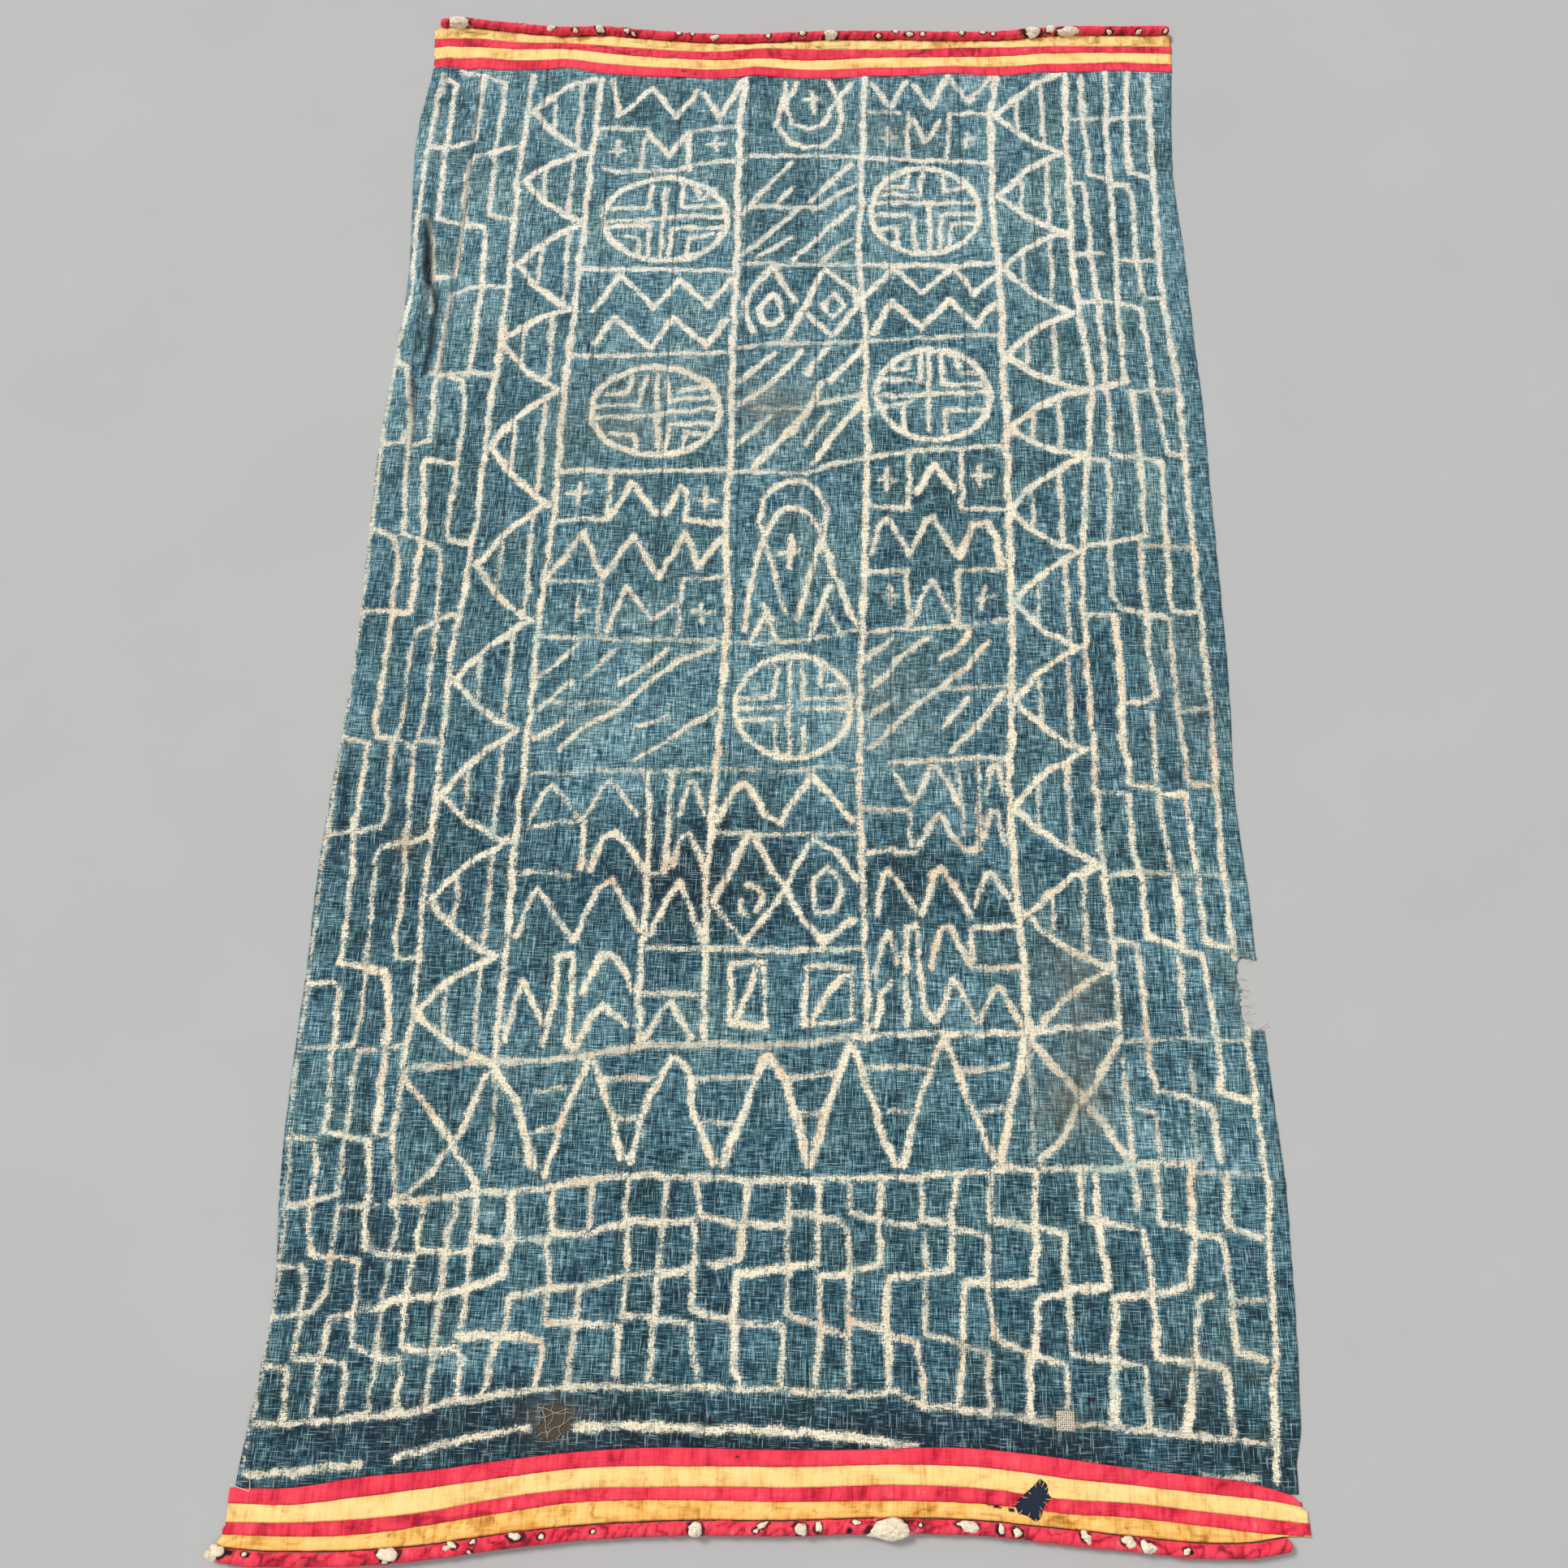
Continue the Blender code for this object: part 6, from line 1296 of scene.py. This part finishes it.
    # The fold values give painted light and shade on the pleats; the hole values give painted shade under each wad and
    # inside the black holes.
    piece = grid_piece(f"cloth_{name}", x, y, z, {
        "fold": np.clip(pleat * 9.0 + 0.15, -1.0, 1.0), "shade": 0.5 * lattice(x, turn, 5.0, 2.0, 126 + band),
        "seam": 9.0, "tear_and_shade": np.maximum(tear_and_shade, creased), "hole_shade": np.maximum(inner * 0.4, black)}, 5, RED, 0.0, wrap=True)
    work = bmesh.new()
    work.from_mesh(piece.data)
    bmesh.ops.holes_fill(work, edges=[e for e in work.edges if e.is_boundary], sides=0)
    bmesh.ops.recalc_face_normals(work, faces=work.faces)
    work.to_mesh(piece.data)
    work.free()
    held(piece, "red_cotton", name)
    piece = held(mesh_piece(f"wads_{name}", islands, faces_of[name], COTTON), "cotton_wadding")

# Wads of cotton that push out through the torn border
for number, name in enumerate(sorted(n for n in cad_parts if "_tuft_" in n)):
    work = bmesh.new()
    work.from_mesh(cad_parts[name].data)
    bmesh.ops.triangulate(work, faces=work.faces)
    bmesh.ops.subdivide_edges(work, edges=work.edges, cuts=3, use_grid_fill=True, smooth=0.6)
    work.normal_update()
    for vert in work.verts:
        p = np.array(vert.co) / CM
        lump = 0.11 * float(lattice(p[0] + p[2], p[1], 0.35, 0.35, 140 + number))
        lump += 0.05 * float(lattice(p[0], p[1] + p[2], 0.14, 0.14, 141 + number))
        vert.co += vert.normal * lump * CM
    mesh = bpy.data.meshes.new("wad_" + name)
    work.to_mesh(mesh)
    work.free()
    mesh.materials.append(COTTON)
    mesh.polygons.foreach_set("use_smooth", np.ones(len(mesh.polygons), bool))
    piece = bpy.data.objects.new("wad_" + name, mesh)
    bpy.context.collection.objects.link(piece)
    held(piece, "cotton_wadding", name)

# Whipped seams between the woven strips
for number, seam in enumerate(seams):
    rng = np.random.default_rng(SEED + number)
    first = float(near_end(seam(10.0))) + 0.5
    last = float(far_end(seam(260.0))) - 0.4
    count = int((last - first) / STITCH_STEP)
    along = first + (np.arange(count) + rng.uniform(-0.2, 0.2, count)) * STITCH_STEP
    tilt, wide = rng.uniform(0.10, 0.30, count), rng.uniform(0.12, 0.24, count)
    rows = []
    for t, lift in ((-1.0, -0.01), (0.0, 0.02), (1.0, -0.01)):
        cx, cy = seam(along) + t * wide, along + t * tilt
        base = heights(cx, cy) + relief(cx, cy) + lift
        for side_y, rise in ((-0.05, -0.02), (0.05, -0.02), (0.0, 0.045)):
            rows.append(np.stack([cx - MIDDLE_ACROSS, cy + side_y - MIDDLE_ALONG,
                                  np.maximum(base + rise, LOWEST_TOP)], -1) * CM)
    verts = np.stack(rows, 1).reshape(-1, 3)
    one = [(k + m, k + (m + 1) % 3, k + 3 + (m + 1) % 3, k + 3 + m) for k in (0, 3) for m in range(3)]
    one += [(2, 1, 0), (6, 7, 8)]
    faces = [tuple(9 * i + f for f in face) for i in range(count) for face in one]
    held(mesh_piece(f"whip_stitch_{number + 1:02d}", verts, faces, STITCH), "navy_cotton")

# Scrap in the rotted hole, darning, and loose threads
def strand(points, thick):
    """A thin four-sided thread through points of across, along and up, as points in metres and faces."""
    points = np.array(points)
    run = np.gradient(points, axis=0)
    run /= np.linalg.norm(run, axis=1)[:, None] + 1e-9
    side = np.cross(run, (0.0, 0.0, 1.0))
    side /= np.linalg.norm(side, axis=1)[:, None] + 1e-9
    lift = np.cross(side, run)
    rings = np.stack([points + thick * 0.5 * (a * side + b * lift) for a, b in ((1, 0), (0, 1), (-1, 0), (0, -1))], 1)
    verts = (rings.reshape(-1, 3) - (MIDDLE_ACROSS, MIDDLE_ALONG, 0.0)) * CM
    faces = [(4 * i + k, 4 * i + (k + 1) % 4, 4 * i + 4 + (k + 1) % 4, 4 * i + 4 + k)
             for i in range(len(points) - 1) for k in range(4)]
    last = 4 * len(points) - 4
    return verts, faces + [(3, 2, 1, 0), (last, last + 1, last + 2, last + 3)]


def bundle(name, strands, material, slot):
    """One piece of many strands."""
    verts, faces, count = [], [], 0
    for one_verts, one_faces in strands:
        verts.extend(one_verts)
        faces.extend(tuple(count + f for f in face) for face in one_faces)
        count += len(one_verts)
    return held(mesh_piece(name, verts, faces, material), slot)


def on_cloth(across, along, lift=0.05):
    return np.stack([across, along, np.maximum(heights(across, along) + lift, LOWEST_TOP + 0.04)], -1)


rng = np.random.default_rng(SEED)
side = np.linspace(-3.3, 3.3, 23)
u, v = np.meshgrid(side, side * 0.8)
x, y = u - 32.8, v + 14.2
z = 0.06 + 0.05 * lattice(x, y, 0.7, 0.7, 160) + 0.02
piece = grid_piece("scrap_under_hole", x, y, np.maximum(z, 0.05), {"fold": 0.0}, 1, SCRAP, 0.04)
held(piece, "indigo_cotton")

strands = []
for i in range(7):
    t = np.linspace(0.0, 1.0, 7)
    ends = rng.uniform(-2.7, 2.7, 2)
    turned = rng.uniform() < 0.5
    a = np.linspace(-2.5, 2.5, 7) + rng.uniform(-0.3, 0.3)
    b = ends[0] + (ends[1] - ends[0]) * t * 0.7 + 0.32 * rng.uniform(-1.0, 1.0, 7)
    ax, ay = (a, b * 0.8) if turned else (b, a * 0.85)
    strands.append(strand(np.stack([ax - 32.8, ay + 14.2, 0.20 + 0.06 * rng.uniform(0.0, 1.0, 7)], -1), 0.09))
bundle("grey_threads", strands, GREY, "indigo_cotton")

strands = []
for i in range(9):
    for turned in (False, True):
        a = np.linspace(-1.35, 1.35, 7)
        b = (i - 4) * 0.29 + 0.06 * rng.uniform(-1.0, 1.0, 7)
        ax, ay = (a, b) if turned else (b, a)
        level = 0.25 + 0.05 * np.sin(np.arange(7) * math.pi + i * math.pi)
        strands.append(strand(np.stack([ax + 40.9, ay + 16.0, np.maximum(heights(ax + 40.9, ay + 16.0), level) + 0.03], -1), 0.12))
for row in LOOSE_THREADS:
    points = np.array(row).reshape(-1, 2)
    t = np.linspace(0.0, len(points) - 1.0, 4 * len(points))
    bent = [np.interp(t, np.arange(len(points)), blurred) for blurred in points.T]
    strands.append(strand(on_cloth(bent[0], bent[1], 0.10), 0.11))
for sx, sy in ((71.0, 80.5), (71.0, 78.9), (71.2, 77.6), (71.1, 76.2), (71.4, 74.8), (71.7, 73.6), (72.6, 83.2), (73.4, 72.6)):
    for _ in range(2):
        length = rng.uniform(0.8, 2.2)
        t = np.linspace(0.0, 1.0, 6)
        strands.append(strand(np.stack([sx + 0.2 + length * t, sy + rng.uniform(-0.7, 0.7) * t ** 1.5 + rng.uniform(-0.2, 0.2),
                                        0.24 - 0.16 * t], -1), 0.08))
bundle("pale_threads", strands, PALE, "cotton_wadding")

strands = []
for k, (hx, hy) in enumerate(BORDER_HOLE):
    centre = np.mean(BORDER_HOLE, 0)
    for _ in range(2):
        t = np.linspace(0.0, rng.uniform(0.10, 0.35), 5)
        fray_x = hx + (centre[0] - hx) * t + rng.uniform(-0.15, 0.15)
        fray_y = hy + (centre[1] - hy) * t + rng.uniform(-0.15, 0.15)
        strands.append(strand(np.stack([fray_x, fray_y, np.maximum(heights(fray_x, fray_y) - 0.5 * t, 0.2)], -1), 0.07))
bundle("yellow_threads", strands, YELLOW, "yellow_cotton")

# Floor, light and camera
floor_mesh = bpy.data.meshes.new(FLOOR_NAME)
floor_mesh.from_pydata([(-15, -15, 0), (15, -15, 0), (15, 15, 0), (-15, 15, 0)], [], [(0, 1, 2, 3)])
floor_shades = Shades("floor_paint", 0.8)
grain = floor_shades.noise(3.0, detail=3.0)
floor_mesh.materials.append(floor_shades.finish(floor_shades.ramp(grain, (0.3, "#b5b5b4"), (0.7, "#b8b8b7")),
                                                grain, 0.0002, 0.1))
floor_piece = bpy.data.objects.new(FLOOR_NAME, floor_mesh)
bpy.context.collection.objects.link(floor_piece)

world = bpy.data.worlds.new("studio")
bpy.context.scene.world = world
world.use_nodes = True
world.node_tree.nodes["Background"].inputs["Color"].default_value = (1.0, 1.0, 1.0, 1.0)
world.node_tree.nodes["Background"].inputs["Strength"].default_value = 0.60
lamp = bpy.data.lights.new("window", "SUN")
lamp.energy = 2.3
lamp.angle = math.radians(16.0)
lamp_piece = bpy.data.objects.new("window", lamp)
lamp_piece.rotation_euler = (math.radians(-28.0), math.radians(-38.0), 0.0)
bpy.context.collection.objects.link(lamp_piece)
bpy.context.scene.view_settings.view_transform = "Standard"
bpy.context.scene.view_settings.look = "None"

camera = bpy.data.cameras.new("camera")
camera.lens, camera.sensor_width, camera.sensor_height = CAMERA_LENS, CAMERA_SENSOR, CAMERA_SENSOR
camera.clip_start, camera.clip_end = 0.05, 60.0
camera_piece = bpy.data.objects.new("camera", camera)
camera_piece.location = ((CAMERA_PLACE[0] - MIDDLE_ACROSS) * CM, (CAMERA_PLACE[1] - MIDDLE_ALONG) * CM,
                         CAMERA_PLACE[2] * CM)
camera_piece.rotation_euler = (math.radians(CAMERA_TILT), 0.0, math.radians(CAMERA_ROLL))
bpy.context.collection.objects.link(camera_piece)
bpy.context.scene.camera = camera_piece
